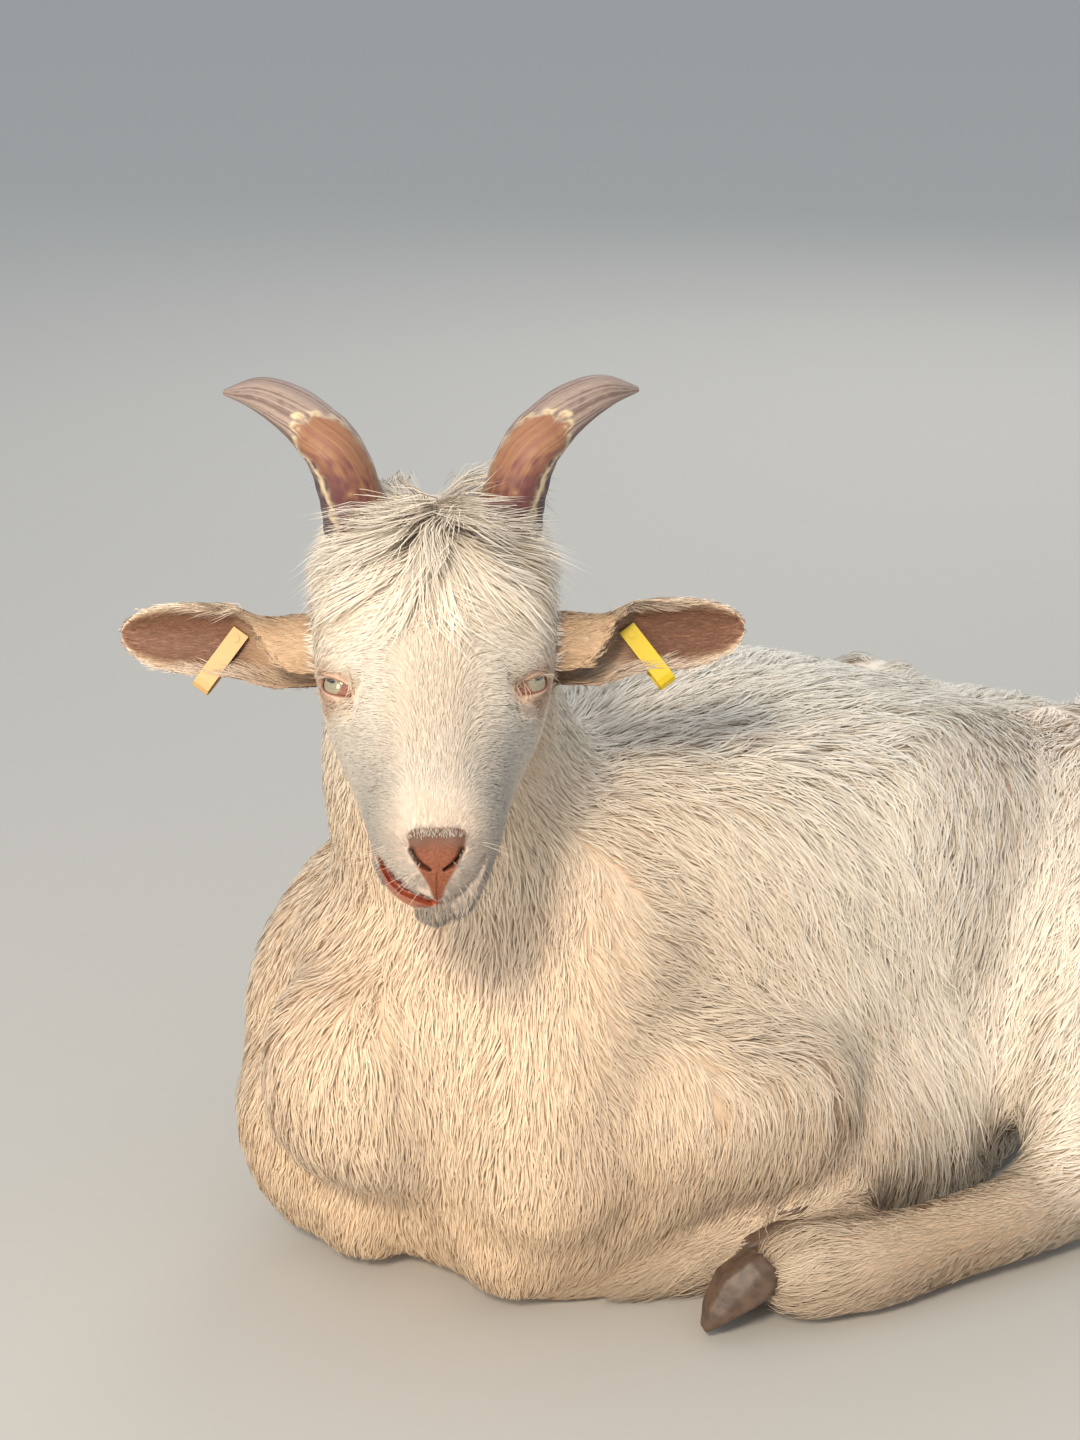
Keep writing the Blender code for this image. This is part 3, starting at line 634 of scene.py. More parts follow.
def with_values(mesh, **columns):
    for name, column in columns.items():
        layer = mesh.attributes.new(name, "FLOAT", "POINT")
        layer.data.foreach_set("value", np.ascontiguousarray(column, np.float32))


skin_mesh = mesh_from("skin", skin_points, skin_faces)
skin_normals = points_of(skin_mesh, "normal")
skin = placed("skin", skin_mesh)

# Which way the hair lies, as a direction at each point of the skin, and how long, deep and thick it is.
# On the face it rises from the nose, parts between the eyes and turns down over the cheeks; on the neck
# it falls back; on the trunk it runs from the withers to the tail and down the flanks.
def blend(first, second, share):
    return first * (1 - share[:, None]) + second * share[:, None]


def laid(points, normals, shares, ears):
    x, y, z = (points - knees).T
    n, l, u = to_head(points).T
    sign = np.sign(l)
    aside = np.abs(l)
    # The face.
    part = step(0.006, 0.030, aside)
    face = np.stack((-1 + 0.9 * part, sign * 1.0 * part, 0.35 * (1 - part)), axis=1)
    cheek = np.stack((np.full(len(n), -0.75), 0.1 * sign, np.full(len(n), -0.85)), axis=1)
    low = step(0.034, 0.043, aside + 0.25 * np.maximum(0, n)) * step(0.002, -0.020, u)
    low = np.maximum(low, step(-0.012, -0.030, u))
    face = blend(face, cheek, low)
    beard = np.stack((np.full(len(n), 0.55), 6 * l, np.full(len(n), -0.9)), axis=1)
    face = blend(face, beard, chin_share(points))
    crown = step(0.012, -0.016, n - 0.25 * aside) * step(-0.01, 0.01, u)
    curtain = step(0.004, 0.036, aside)
    forelock = np.stack((0.95 - 0.9 * curtain, sign * (0.12 + 0.75 * curtain), -0.25 - 0.55 * curtain),
                        axis=1)
    face = blend(face, forelock, crown)
    poll = step(-0.084, -0.100, n)
    behind = np.stack((np.full(len(n), -0.5), 0.3 * sign, np.full(len(n), -0.8)), axis=1)
    face = blend(face, behind, poll) @ head_axes
    # The neck, trunk, tail and legs.
    side = np.sign(x + 1e-9)
    front = step(0.15, -0.45, normals[:, 1])
    top = step(0.45, 0.9, normals[:, 2]) * (1 - front)
    neck = np.stack((0.25 * side, 0.55 * (1 - front), np.full(len(x), -0.85)), axis=1)
    fall = (0.80 + 1.25 * step(0.08, 0.48, y)) * (1 + 1.8 * step(0.20, 0.08, z)) * (1 - 0.72 * top)
    flow = np.stack((0.30 * side * top, 1 - 0.95 * front, -fall), axis=1)
    tail = np.stack((0.1 * side, np.full(len(x), 0.9), np.full(len(x), -0.5)), axis=1)
    upper = step(0.13, 0.19, z)
    foreleg = np.stack((0.1 * side, -0.20 + 0.75 * upper, -1.0 + 0.35 * upper), axis=1)
    thigh = np.stack((0.05 * side, -0.50 + 0.35 * step(0.40, 0.60, y), np.full(len(x), -0.85)), axis=1)
    shank = np.stack((-0.35 * side, np.full(len(x), -1.0), np.full(len(x), -0.35)), axis=1)
    foot = step(0.13, 0.07, z) * step(0.50, 0.40, y)
    thigh = blend(thigh, shank, foot)
    cannon = np.stack((-0.45 * side, np.full(len(x), -0.85), np.full(len(x), -0.1)), axis=1)
    made = np.zeros_like(points)
    for k, way in enumerate((face, neck, flow, tail, foreleg, thigh, cannon)):
        made += way * shares[:, k, None]
    # The ears, from root to tip.
    for ear_side in (1, -1):
        flip = np.array((1, ear_side, 1))
        along = unit((np.array(EAR_TIP) - np.array(EAR_ROOT)) * flip @ head_axes)
        made = blend(made, np.tile(along, (len(made), 1)), ears * (ear_side * l > 0))
    return unit(made - normals * (made * normals).sum(axis=1, keepdims=True))


# Close to the slit of the eye the hair lies straight away from it.
lie = laid(skin_points, skin_normals, skin_shares, is_ear)
lie = blend(lie, unit(lid_way) + 0.25 * lie, step(0.08, 0.30, lid_mark))

# The coat is fine and short on the face and feet and long on the trunk. Each part of the body has a
# length and a width in metres and strands to the square metre. From these the length, width, density,
# lift and stand off the skin are worked out for each point of it, one place of the coat after another.
HAIR = {"head": (0.0085, 0.00042, 1350000), "neck": (0.024, 0.0008, 240000),
        "trunk": (0.038, 0.0009, 190000), "tail": (0.050, 0.0010, 200000),
        "foreleg": (0.024, 0.0008, 230000), "hindleg": (0.032, 0.0009, 195000),
        "cannon": (0.010, 0.0006, 500000)}
EAR_HAIR_WIDTH, EAR_HAIR_LIFT = 0.00042, 0.0011
HORN_ROOT = (-0.078, 0.043, 0.046)


def both_sides(place):
    """A place on the left of the head, and its mirror image on the right."""
    return from_head([np.array(place) * (1, side, 1) for side in (1, -1)])


share_of = dict(zip(REGIONS, skin_shares.T))
x, y, z = (skin_points - knees).T
n, l, u = to_head(skin_points).T
length, width, density = (skin_shares @ np.array([HAIR[region] for region in REGIONS])).T
lift = coat_depth(skin_points, skin_normals, skin_shares)
# The breast is sleeker than the flanks.
chest = (1 - share_of["head"]) * step(0.20, 0.04, y)
length *= 1 - 0.42 * chest
width *= 1 - 0.20 * chest
density *= 1 + 0.35 * chest
# A forelock hangs over the brow, tufts stand round the roots of the horns, and the poll is ruffled.
head_part = share_of["head"] * (1 - is_ear)
brow = head_part * step(0.004, -0.040, n) * step(-0.02, 0.0, u)
middle_brow = brow * step(0.048, 0.016, np.abs(l))
length += brow * 0.013 + middle_brow * 0.044 * step(-0.004, -0.05, n)
width *= 1 + 0.6 * brow
lift += 0.002 * brow + 0.007 * middle_brow * step(-0.01, -0.05, n)
density *= 1 - 0.62 * brow
tufts = head_part * step(0.034, 0.022, gap_to(skin_points, both_sides(HORN_ROOT)))
poll_top = head_part * hill(np.hypot(n + 0.088, 0.8 * l), 0, 0.022)
stand = 0.45 * tufts + 0.6 * poll_top
length = length * (1 - tufts) + 0.020 * tufts
density *= 1 + 0.9 * poll_top
# The cheeks are shaggy, and the nose and the roots of the ears are close-haired.
cheeks = head_part * step(-0.02, -0.05, u) * step(0.03, -0.02, n)
length *= 1 + 1.6 * cheeks
lift += 0.002 * cheeks
near_ear = head_part * step(0.045, 0.030, gap_to(skin_points, both_sides(EAR_ROOT)))
length = length * (1 - near_ear) + np.minimum(length, 0.010) * near_ear
stand *= 1 - near_ear
nose_tip = head_part * step(0.075, 0.105, n)
length *= 1 - 0.5 * nose_tip
width *= 1 - 0.2 * nose_tip
# Longer hair hangs from the belly, over the hind claws and at the elbow.
belly = share_of["trunk"] * step(0.20, 0.10, z) * step(0.05, 0.15, y)
length *= 1 + 0.60 * belly
claws = np.concatenate([points_of(nodes[name].data) for name in nodes if name.startswith("claw_hind")])
claw_tree = KDTree(len(claws))
for k, spot in enumerate(claws):
    claw_tree.insert(Vector(spot), k)
claw_tree.balance()
claw_gap = np.array([claw_tree.find(Vector(spot))[2] if near else 1
                     for spot, near in zip(skin_points, share_of["cannon"] > 0.5)])
feather = step(0.060, 0.030, claw_gap)
length += 0.026 * feather
lift += 0.006 * feather
shaggy = (1 - share_of["head"]) * hill(np.hypot(x - 0.24, y - 0.20), 0, 0.10) * step(0.06, 0.12, z)
length *= 1 + 0.9 * shaggy
lift += 0.004 * shaggy
under_foot = step(0.020, 0.006, skin_points[:, 2]) * step(-0.3, -0.8, skin_normals[:, 2])
density *= 1 - 0.85 * under_foot
# The ears are finely covered, with a longer fringe inside their rims.
length = length * (1 - is_ear) + is_ear * (0.008 - 0.003 * step(0.7, 1.0, ear_along))
fringe = is_ear * ear_hollow * step(0.50, 0.85, ear_edge) * hill(ear_along, 0.42, 0.26)
length += 0.013 * fringe
stand += 0.30 * fringe
width = width * (1 - is_ear) + is_ear * EAR_HAIR_WIDTH
lift = lift * (1 - is_ear) + is_ear * EAR_HAIR_LIFT
density = density * (1 - is_ear) + is_ear * (1000000 - 300000 * ear_hollow)
# The nose, lips and rims of the lids are bare, the chin has a short beard, and no hair grows under a lid.
nose, mouth, lip = muzzle_marks(skin_points)
fuzzy = 1 - 0.8 * step(7, 14, on_muzzle(skin_points)[1])
bare = np.clip(nose * fuzzy + mouth + 1.4 * lip + 1.2 * (lid_mark > 0.74), 0, 1) * (1 - is_ear)
length *= 1 - 0.5 * nose * (1 - is_ear)
chin = head_part * chin_share(skin_points) * (1 - bare)
length += 0.0060 * chin
stand += 0.30 * chin
density *= step(0.95, 0.55, bare)
density[:len(buried)] *= buried < 0.15
density[eye_distance(skin_points) < EYE_RADIUS + 0.0003] = 0
lift *= 1 - 0.6 * np.clip(lid_mark, 0, 1)
length *= 1 - 0.80 * step(0.02, 0.60, lid_mark)
width *= 1 - 0.25 * np.clip(lid_mark, 0, 1)

# The coat grows in locks. Some thousands of guides are walked over the skin with the lie of the hair, and
# every strand follows the guide nearest its root, drawing in towards it as it nears its tip. Long hair
# has one more bend in it than the short hair of the face, ears and feet. Each kind is given as places
# along the hair, and its width at those before the tip. No hair goes below the ground.
LONG_HAIR = ((0.0, 0.34, 0.68, 1.0), (0.60, 1.0, 0.80))
SHORT_HAIR = ((0.0, 0.5, 1.0), (0.75, 1.0))
LOCKS_PER_AREA = {"head": 90000, "neck": 17000, "trunk": 12500, "tail": 20000, "foreleg": 17000,
                  "hindleg": 14000, "cannon": 50000}
EAR_LOCKS_PER_AREA = 120000
SAME_SIDE = 0.012
ROOT_DEPTH = 0.0003
ABOVE_GROUND = 0.0006
EDGE_ABOVE_GROUND = 0.0004
SHARPEST_BEND = math.cos(math.radians(58))
rng = np.random.default_rng(11)
corner = skin_points[skin_faces]
face_area = np.linalg.norm(np.cross(corner[:, 1] - corner[:, 0], corner[:, 2] - corner[:, 0]), axis=1) / 2
under_lids = np.zeros(len(skin_points), bool)
under_lids[:len(buried)] = buried > 0.12
shown = np.flatnonzero(~under_lids[skin_faces].any(axis=1))
skin_tree = BVHTree.FromPolygons([tuple(spot) for spot in skin_points],
                                 [tuple(map(int, skin_faces[k])) for k in shown])
face_lie = lie[skin_faces].mean(axis=1)
face_normal = skin_normals[skin_faces].mean(axis=1)
lock_density = skin_shares @ np.array([LOCKS_PER_AREA[region] for region in REGIONS])
lock_density = lock_density * (1 - is_ear) + EAR_LOCKS_PER_AREA * is_ear
lock_density *= 1 - 0.8 * brow
lock_density += 500000 * step(0.02, 0.20, lid_mark) + 250000 * head_part * step(0.075, 0.10, n)


def roots(per_area):
    """Evenly spread roots: their faces and their weights within the face."""
    mean = per_area[skin_faces].mean(axis=1) * face_area
    total = np.cumsum(mean)
    count = int(total[-1])
    marks = (np.arange(count) + rng.random(count)) * total[-1] / count
    faces = np.minimum(np.searchsorted(total, marks), len(mean) - 1)
    a, b = rng.random((2, count))
    flip = a + b > 1
    a[flip], b[flip] = 1 - a[flip], 1 - b[flip]
    return faces, np.stack((1 - a - b, a, b), axis=1)


def at_roots(values, faces, weights):
    picked = values[skin_faces[faces]]
    if picked.ndim == 2:
        return (picked * weights).sum(axis=1)
    return (picked * weights[..., None]).sum(axis=1)


class Guides:
    """Paths over the skin that the strands of one kind of hair follow."""

    def __init__(self, per_area, steps):
        faces, weights = roots(per_area)
        self.root = at_roots(skin_points, faces, weights)
        self.length = at_roots(length, faces, weights) * rng.uniform(0.75, 1.2, len(faces))
        tangle = at_roots(0.5 + 0.5 * step(0.014, 0.034, length), faces, weights)
        swing = rng.normal(0, 0.19, len(faces)) * tangle
        curl = rng.normal(0, 0.24, len(faces)) * tangle
        self.path = np.empty((len(faces), len(steps), 3))
        self.normal = np.empty_like(self.path)
        self.way = np.empty_like(self.path)
        at, on = self.root.copy(), faces.copy()
        for k, t in enumerate(steps):
            normal = unit(face_normal[on])
            way = face_lie[on]
            way = unit(way - normal * (way * normal).sum(axis=1, keepdims=True))
            turn = (swing + curl * (t - 0.3) * 2)[:, None]
            way = way * np.cos(turn) + np.cross(normal, way) * np.sin(turn)
            self.path[:, k], self.normal[:, k], self.way[:, k] = at, normal, way
            if k + 1 < len(steps):
                ahead = at + way * (self.length * (steps[k + 1] - t))[:, None]
                for i, spot in enumerate(ahead):
                    at[i], _, found, _ = skin_tree.find_nearest(Vector(spot))
                    on[i] = shown[found]
        self.tree = KDTree(len(faces))
        for i, key in enumerate(self.root + self.normal[:, 0] * SAME_SIDE):
            self.tree.insert(Vector(key), i)
        self.tree.balance()


class Strands:
    """Flat tapering hairs, each a strip of a few triangles that ends in a point."""

    def __init__(self, per_area, guides, steps, shape):
        self.faces, self.weights = roots(per_area)
        root, length_here, wide, high = (at_roots(values, self.faces, self.weights)
                                         for values in (skin_points, length, width, lift))
        normal = unit(at_roots(skin_normals, self.faces, self.weights))
        count, rows = len(root), len(shape)
        # Guides are looked up a little way off the skin, so that none is taken from an ear's other wall.
        mine = np.array([guides.tree.find(Vector(key))[1] for key in root + normal * SAME_SIDE])
        offset = root - guides.root[mine]
        ways, ups = guides.way[mine], guides.normal[mine]
        sides = np.cross(ups, ways)
        on_way, on_side, on_up = ((offset * axis[:, 0]).sum(axis=1) for axis in (ways, sides, ups))
        scale = length_here / np.maximum(guides.length[mine], 1e-5) * rng.uniform(0.72, 1.15, count)
        rise = high * (0.30 + 0.65 * rng.random(count) ** 0.8)
        drift = rng.normal(0, 0.10, count)
        pull = 0.10 + 0.42 * step(0.018, 0.038, length_here)
        stands = length_here * at_roots(stand, self.faces, self.weights) * rng.uniform(0.6, 1.0, count)
        path = np.empty((count, len(steps), 3))
        for k, t in enumerate(steps):
            path[:, k] = guides.root[mine] + (guides.path[mine, k] - guides.root[mine]) * scale[:, None]
            path[:, k] += ways[:, k] * on_way[:, None] + normal * (stands * t)[:, None]
            path[:, k] += sides[:, k] * (on_side * (1 - pull * t ** 1.2) + drift * length_here * t)[:, None]
            path[:, k] += ups[:, k] * (on_up * (1 - t) + rise * (1 - (1 - t) ** 2))[:, None]
        path[:, 0] = root - normal * ROOT_DEPTH
        path[:, :, 2] = np.maximum(path[:, :, 2], ABOVE_GROUND)
        # A strand whose path turns a sharp corner, as where it slips over an ear's rim, is left out.
        links = unit(np.diff(path, axis=1))
        self.even = (links[:, 1:] * links[:, :-1]).sum(axis=2).min(axis=1) > SHARPEST_BEND
        run = unit(np.gradient(path, axis=1))
        roll = rng.normal(0, 0.45, count)[:, None, None]
        flat = unit(np.cross(run, ups))
        flat = flat * np.cos(roll) + np.cross(run, flat) * np.sin(roll)
        half = (wide * rng.uniform(0.35, 0.65, count))[:, None] * np.array(shape)
        self.points = np.empty((count, 2 * rows + 1, 3))
        self.points[:, 0:-1:2] = path[:, :rows] + flat[:, :rows] * half[..., None]
        self.points[:, 1::2] = path[:, :rows] - flat[:, :rows] * half[..., None]
        self.points[:, -1] = path[:, -1]
        self.points[:, :, 2] = np.maximum(self.points[:, :, 2], EDGE_ABOVE_GROUND)
        # It is lit mostly as the side of the animal it lies on, and a little as its own flat face.
        level_of = [k for k in range(rows) for _ in range(2)] + [rows]
        own = np.cross(run, flat)
        own *= np.sign((own * ups).sum(axis=2, keepdims=True) + 1e-9)
        self.facing = unit(ups[:, level_of] * 0.88 + own[:, level_of] * 0.12)
        self.root = root
        self.tone = rng.random(count)
        self.along = np.array([steps[k] for k in level_of])
        self.across = np.array([0, 1] * rows + [0.5])
        strip = [(2 * k, 2 * k + 2, 2 * k + 3) for k in range(rows - 1)]
        strip += [(2 * k, 2 * k + 3, 2 * k + 1) for k in range(rows - 1)]
        self.strip = np.array(strip + [(2 * rows - 2, 2 * rows, 2 * rows - 1)])


is_long = step(0.0115, 0.0135, length)
hairs = {}
for kind, (steps, shape), share in (("long", LONG_HAIR, is_long), ("short", SHORT_HAIR, 1 - is_long)):
    guides = Guides(lock_density * (share > 0), steps)
    hairs[kind] = Strands(density * share, guides, steps, shape)

# The markings, shared by skin and coat. The goat is near white, going tan on the breast, knees, feet and
# ears, and rust brown in the ears and at the elbow, the ears' hollows darkened further with painted shade.
# The skin shows pink round the eyes and on the muzzle, and grey along the face and on the shanks, and
# painted shade darkens the trunk under the belly.
body_part = 1 - share_of["head"]
leg_part = share_of["foreleg"] + share_of["hindleg"] + share_of["cannon"]
eye_gap = eye_distance(skin_points) * 1000
warm = 0.06 + 0.48 * body_part * step(0.30, 0.0, y) * step(0.48, 0.22, z)
warm += 0.14 * share_of["neck"] * step(0.42, 0.30, z)
warm += 0.16 * body_part * step(0.40, 0.02, z)
warm += 0.30 * share_of["cannon"] + 0.10 * share_of["foreleg"]
warm += 0.35 * leg_part * hill(np.hypot(x - 0.25, y - 0.22), 0, 0.07)
warm += head_part * 0.24 * hill(n, 0.045, 0.05) * step(0.032, 0.010, np.abs(l))
warm += head_part * (0.12 + 0.35 * hill(eye_gap, 14, 9) + 0.22 * step(-0.015, -0.045, u))
warm += head_part * 0.25 * hill(np.abs(l), 0.045, 0.012) * hill(n, -0.03, 0.025)
rim = step(0.72, 0.98, ear_edge) * step(0.30, 0.55, ear_along)
hollow = ear_hollow * step(0.28, 0.48, ear_along) * step(0.95, 0.55, ear_edge)
warm += is_ear * (0.85 - 0.55 * np.maximum(rim, fringe))
# Rust brown in the ears, deepened in the hollow as painted shade, and less on the rim.
rust_and_shade = is_ear * (0.34 + 0.66 * hollow) * (1 - 0.80 * rim)
rust_and_shade += 0.16 * head_part * hill(eye_gap, 15, 5) + 0.20 * near_ear + 0.25 * head_part * nose
rust_and_shade += 0.18 * share_of["hindleg"] * hill(np.hypot(x - 0.26, y - 0.20), 0, 0.06)
blush = 0.04 + 0.42 * head_part * hill(eye_gap, 15, 5) + 0.25 * head_part * step(0.088, 0.115, n)
blush += 0.10 * is_ear * ear_hollow
blush += 0.06 * share_of["hindleg"] * step(0.15, 0.25, z)
grey_and_shade = 0.02 + 0.30 * head_part * step(-0.015, 0.03, n)
grey_and_shade += 0.36 * head_part * step(0.030, 0.085, n) * step(0.012, 0.026, np.abs(l) + 0.3 * step(0, -0.03, u))
grey_and_shade += 0.12 * head_part * step(0.09, 0.11, n) * step(0.0, -0.02, u)
# Painted shade under the belly, low on the trunk.
grey_and_shade += 0.55 * share_of["trunk"] * step(0.10, 0.05, z) * step(0.10, 0.18, y)
grey_and_shade += 0.35 * head_part * hill(np.hypot(n + 0.078, l), 0, 0.018)
grey_and_shade += 0.50 * share_of["cannon"] + 0.45 * head_part * nose
markings = {"warm": np.clip(warm, 0, 1), "rust_and_shade": np.clip(rust_and_shade, 0, 1), "blush": np.clip(blush, 0, 1),
            "grey_and_shade": np.clip(grey_and_shade, 0, 1)}
across, over, spots = on_muzzle(skin_points)
on_nose = nose * (1 - is_ear)
slit_gap = np.minimum(*(along_path(across * side, over, NOSTRIL)[0] for side in (1, -1)))
# The top of the nose is marked greyer, and darker towards its upper corners as painted shade.
with_values(skin_mesh, nose=on_nose, mouth=mouth * (1 - is_ear), lip=lip * (1 - is_ear),
            nose_top=on_nose * step(2, 13, over + 0.25 * np.abs(across)),
            nostril=0.9 * step(1.3, 0.4, slit_gap) * step(0.10, 0.11, n) * (np.abs(across) < 16),
            lid_edge=step(0.50, 0.85, lid_mark), **markings)

# One unwrap of the skin, the OFBake map, gives every strand the place of its root on it.
bpy.context.view_layer.objects.active = skin
skin.select_set(True)
skin_mesh.uv_layers.new(name="OFBake")
bpy.ops.object.mode_set(mode="EDIT")
bpy.ops.mesh.select_all(action="SELECT")
bpy.ops.uv.smart_project(angle_limit=math.radians(66), island_margin=0.002)
bpy.ops.object.mode_set(mode="OBJECT")
skin.select_set(False)
skin_uv = np.empty(len(skin_faces) * 6, np.float32)
skin_mesh.uv_layers["OFBake"].uv.foreach_get("vector", skin_uv)
skin_uv = skin_uv.reshape(-1, 3, 2)

# The coat is dry hair, darker towards the roots with painted shade deep in the coat, and streaked from
# hair to hair. The skin under it is pinker, the nose leathery, and the lip and mouth wet. Each finish is a
# small tree of mixes that reads the values stored on the mesh.
class Finish:
    def __init__(self, name, roughness):
        self.material = bpy.data.materials.new(name)
        self.material.use_nodes = True
        self.tree = self.material.node_tree
        self.shader = self.tree.nodes["Principled BSDF"]
        self.shader.inputs["Roughness"].default_value = roughness

    def node(self, kind, **settings):
        made = self.tree.nodes.new(kind)
        for key, value in settings.items():
            setattr(made, key, value)
        return made

    def join(self, source, socket):
        self.tree.links.new(source, socket)

    def feed(self, value, socket):
        """Gives a socket a constant, a colour or another node's output."""
        if isinstance(value, bpy.types.NodeSocket):
            self.join(value, socket)
        elif isinstance(value, tuple):
            socket.default_value = (*value, 1) if len(value) == 3 and socket.type == "RGBA" else value
        else:
            socket.default_value = value

    def value(self, name):
        return self.node("ShaderNodeAttribute", attribute_name=name).outputs["Fac"]

    def mix(self, share, first, second, blend="MIX"):
        made = self.node("ShaderNodeMix", data_type="RGBA", blend_type=blend)
        self.feed(share, made.inputs["Factor"])
        self.feed(first, made.inputs[6])
        self.feed(second, made.inputs[7])
        return made.outputs[2]

    def math(self, operation, first, second=0.5, third=0.5):
        made = self.node("ShaderNodeMath", operation=operation)
        self.feed(first, made.inputs[0])
        self.feed(second, made.inputs[1])
        self.feed(third, made.inputs[2])
        return made.outputs[0]

    def ramp(self, value, low, high, start=0.0, end=1.0):
        made = self.node("ShaderNodeMapRange", interpolation_type="SMOOTHSTEP")
        for socket, amount in zip(made.inputs[:5], (value, low, high, start, end)):
            self.feed(amount, socket)
        return made.outputs[0]

    def noise(self, scale, detail=2.0, stretch=(1, 1, 1)):
        place = self.node("ShaderNodeTexCoord").outputs["Object"]
        sized = self.node("ShaderNodeMapping")
        sized.inputs["Scale"].default_value = stretch
        self.join(place, sized.inputs["Vector"])
        made = self.node("ShaderNodeTexNoise")
        made.inputs["Scale"].default_value = scale
        made.inputs["Detail"].default_value = detail
        self.join(sized.outputs[0], made.inputs["Vector"])
        return made.outputs["Fac"]

    def bump(self, height, strength, distance):
        made = self.node("ShaderNodeBump")
        made.inputs["Strength"].default_value = strength
        made.inputs["Distance"].default_value = distance
        self.join(height, made.inputs["Height"])
        self.join(made.outputs[0], self.shader.inputs["Normal"])

    def colour(self, source):
        self.feed(source, self.shader.inputs["Base Color"])


WHITE_HAIR, TAN_HAIR = (0.94, 0.89, 0.79), (0.80, 0.56, 0.33)
RUST_AND_SHADE_HAIR, PINK_SKIN, GREY_AND_SHADE_HAIR = (0.12, 0.043, 0.016), (0.66, 0.36, 0.25), (0.36, 0.32, 0.28)


def marked(finish):
    tan = finish.mix(finish.value("warm"), WHITE_HAIR, TAN_HAIR)
    # Rust brown, which also carries the painted shade in the ears' hollows.
    rust_and_shade = finish.mix(finish.value("rust_and_shade"), tan, RUST_AND_SHADE_HAIR)
    pink = finish.mix(finish.value("blush"), rust_and_shade, PINK_SKIN)
    # Grey, which also carries the painted shade under the belly.
    return finish.mix(finish.value("grey_and_shade"), pink, GREY_AND_SHADE_HAIR)


coat_finish = Finish("coat", 0.55)
coat_finish.shader.inputs["Specular IOR Level"].default_value = 0.35
tone = coat_finish.ramp(coat_finish.value("tone"), 0, 1, 0.90, 1.06)
# Darker towards each strand's root: painted shade deep in the coat.
painted_root_shade = coat_finish.ramp(coat_finish.value("along"), 0.0, 0.45, 0.90, 1.0)
own_phase = coat_finish.math("MULTIPLY", coat_finish.value("tone"), 40.0)
streak_phase = coat_finish.math("MULTIPLY_ADD", coat_finish.value("across"), 11.0, own_phase)
fine = coat_finish.ramp(coat_finish.math("SINE", streak_phase), -1, 1, 0.90, 1.05)
shade = coat_finish.math("MULTIPLY", coat_finish.math("MULTIPLY", tone, painted_root_shade), fine)
shade_colour = coat_finish.node("ShaderNodeCombineColor")
for channel in shade_colour.inputs:
    coat_finish.join(shade, channel)
coat_finish.colour(coat_finish.mix(1.0, marked(coat_finish), shade_colour.outputs[0], "MULTIPLY"))

skin_finish = Finish("skin", 0.55)
under = skin_finish.mix(0.15, marked(skin_finish), PINK_SKIN)
mottle = skin_finish.ramp(skin_finish.noise(900.0), 0.35, 0.65)
nose_colour = skin_finish.mix(mottle, (0.25, 0.082, 0.040), (0.17, 0.055, 0.027))
# A greyer brown over the top of the nose, with painted shade towards its upper corners.
nose_colour = skin_finish.mix(skin_finish.value("nose_top"), nose_colour, (0.135, 0.072, 0.050))
bared = skin_finish.mix(skin_finish.value("nose"), under, nose_colour)
bared = skin_finish.mix(skin_finish.value("lid_edge"), bared, (0.20, 0.080, 0.052))
# The nostril slits are painted near black, as painted shade inside them.
bared = skin_finish.mix(skin_finish.value("nostril"), bared, (0.05, 0.018, 0.014))
# The open mouth is its own dark red with pale wet bits, made darker by painted shade inside it.
wet_bits = skin_finish.ramp(skin_finish.noise(420.0), 0.52, 0.62)
inside = skin_finish.mix(wet_bits, (0.14, 0.045, 0.040), (0.50, 0.36, 0.31))
bared = skin_finish.mix(skin_finish.value("mouth"), bared, inside)
bared = skin_finish.mix(skin_finish.value("lip"), bared, (0.38, 0.085, 0.045))
skin_finish.colour(bared)
wet = skin_finish.math("MAXIMUM", skin_finish.value("lip"), skin_finish.value("mouth"))
skin_finish.join(skin_finish.ramp(wet, 0, 1, 0.55, 0.28), skin_finish.shader.inputs["Roughness"])
skin_finish.shader.inputs["Specular IOR Level"].default_value = 0.25
skin_finish.bump(skin_finish.noise(1400.0), 0.25, 0.0004)
skin_mesh.materials.append(skin_finish.material)
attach(skin, "root")
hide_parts(*FLESH, "ear_left", "ear_right")

# The coat is made in pieces by part of the body, each of about PIECE_TRIANGLES triangles at most. In
# pieces by part of the body, each light enough to load by itself. A strand has the markings of its root
# all along it, and lies at its root's place on the map.
PIECE_TRIANGLES = 190000
ROOT_PATCH = 0.003


def coat_piece(name, hair, chosen):
    per = hair.points.shape[1]
    faces = (np.arange(len(chosen))[:, None, None] * per + hair.strip[None]).reshape(-1, 3)
    mesh = mesh_from(name, hair.points[chosen].reshape(-1, 3), faces)
    where = hair.faces[chosen], hair.weights[chosen]
    marks = {key: np.repeat(at_roots(column, *where), per) for key, column in markings.items()}
    with_values(mesh, along=np.tile(hair.along, len(chosen)), across=np.tile(hair.across, len(chosen)),
                tone=np.repeat(hair.tone[chosen], per), **marks)
    root_uv = (skin_uv[where[0]] * where[1][..., None]).sum(axis=1)
    spread = (np.stack((hair.across, hair.along), axis=1) - 0.5) * ROOT_PATCH
    corner_uv = (root_uv[:, None] + spread[None]).reshape(-1, 2)[faces.ravel()]
    mesh.uv_layers.new(name="OFBake").uv.foreach_set("vector", corner_uv.astype(np.float32).ravel())
    mesh.normals_split_custom_set_from_vertices(hair.facing[chosen].reshape(-1, 3))
    mesh.materials.append(coat_finish.material)
    piece = placed(name, mesh)
    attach(piece, "root")


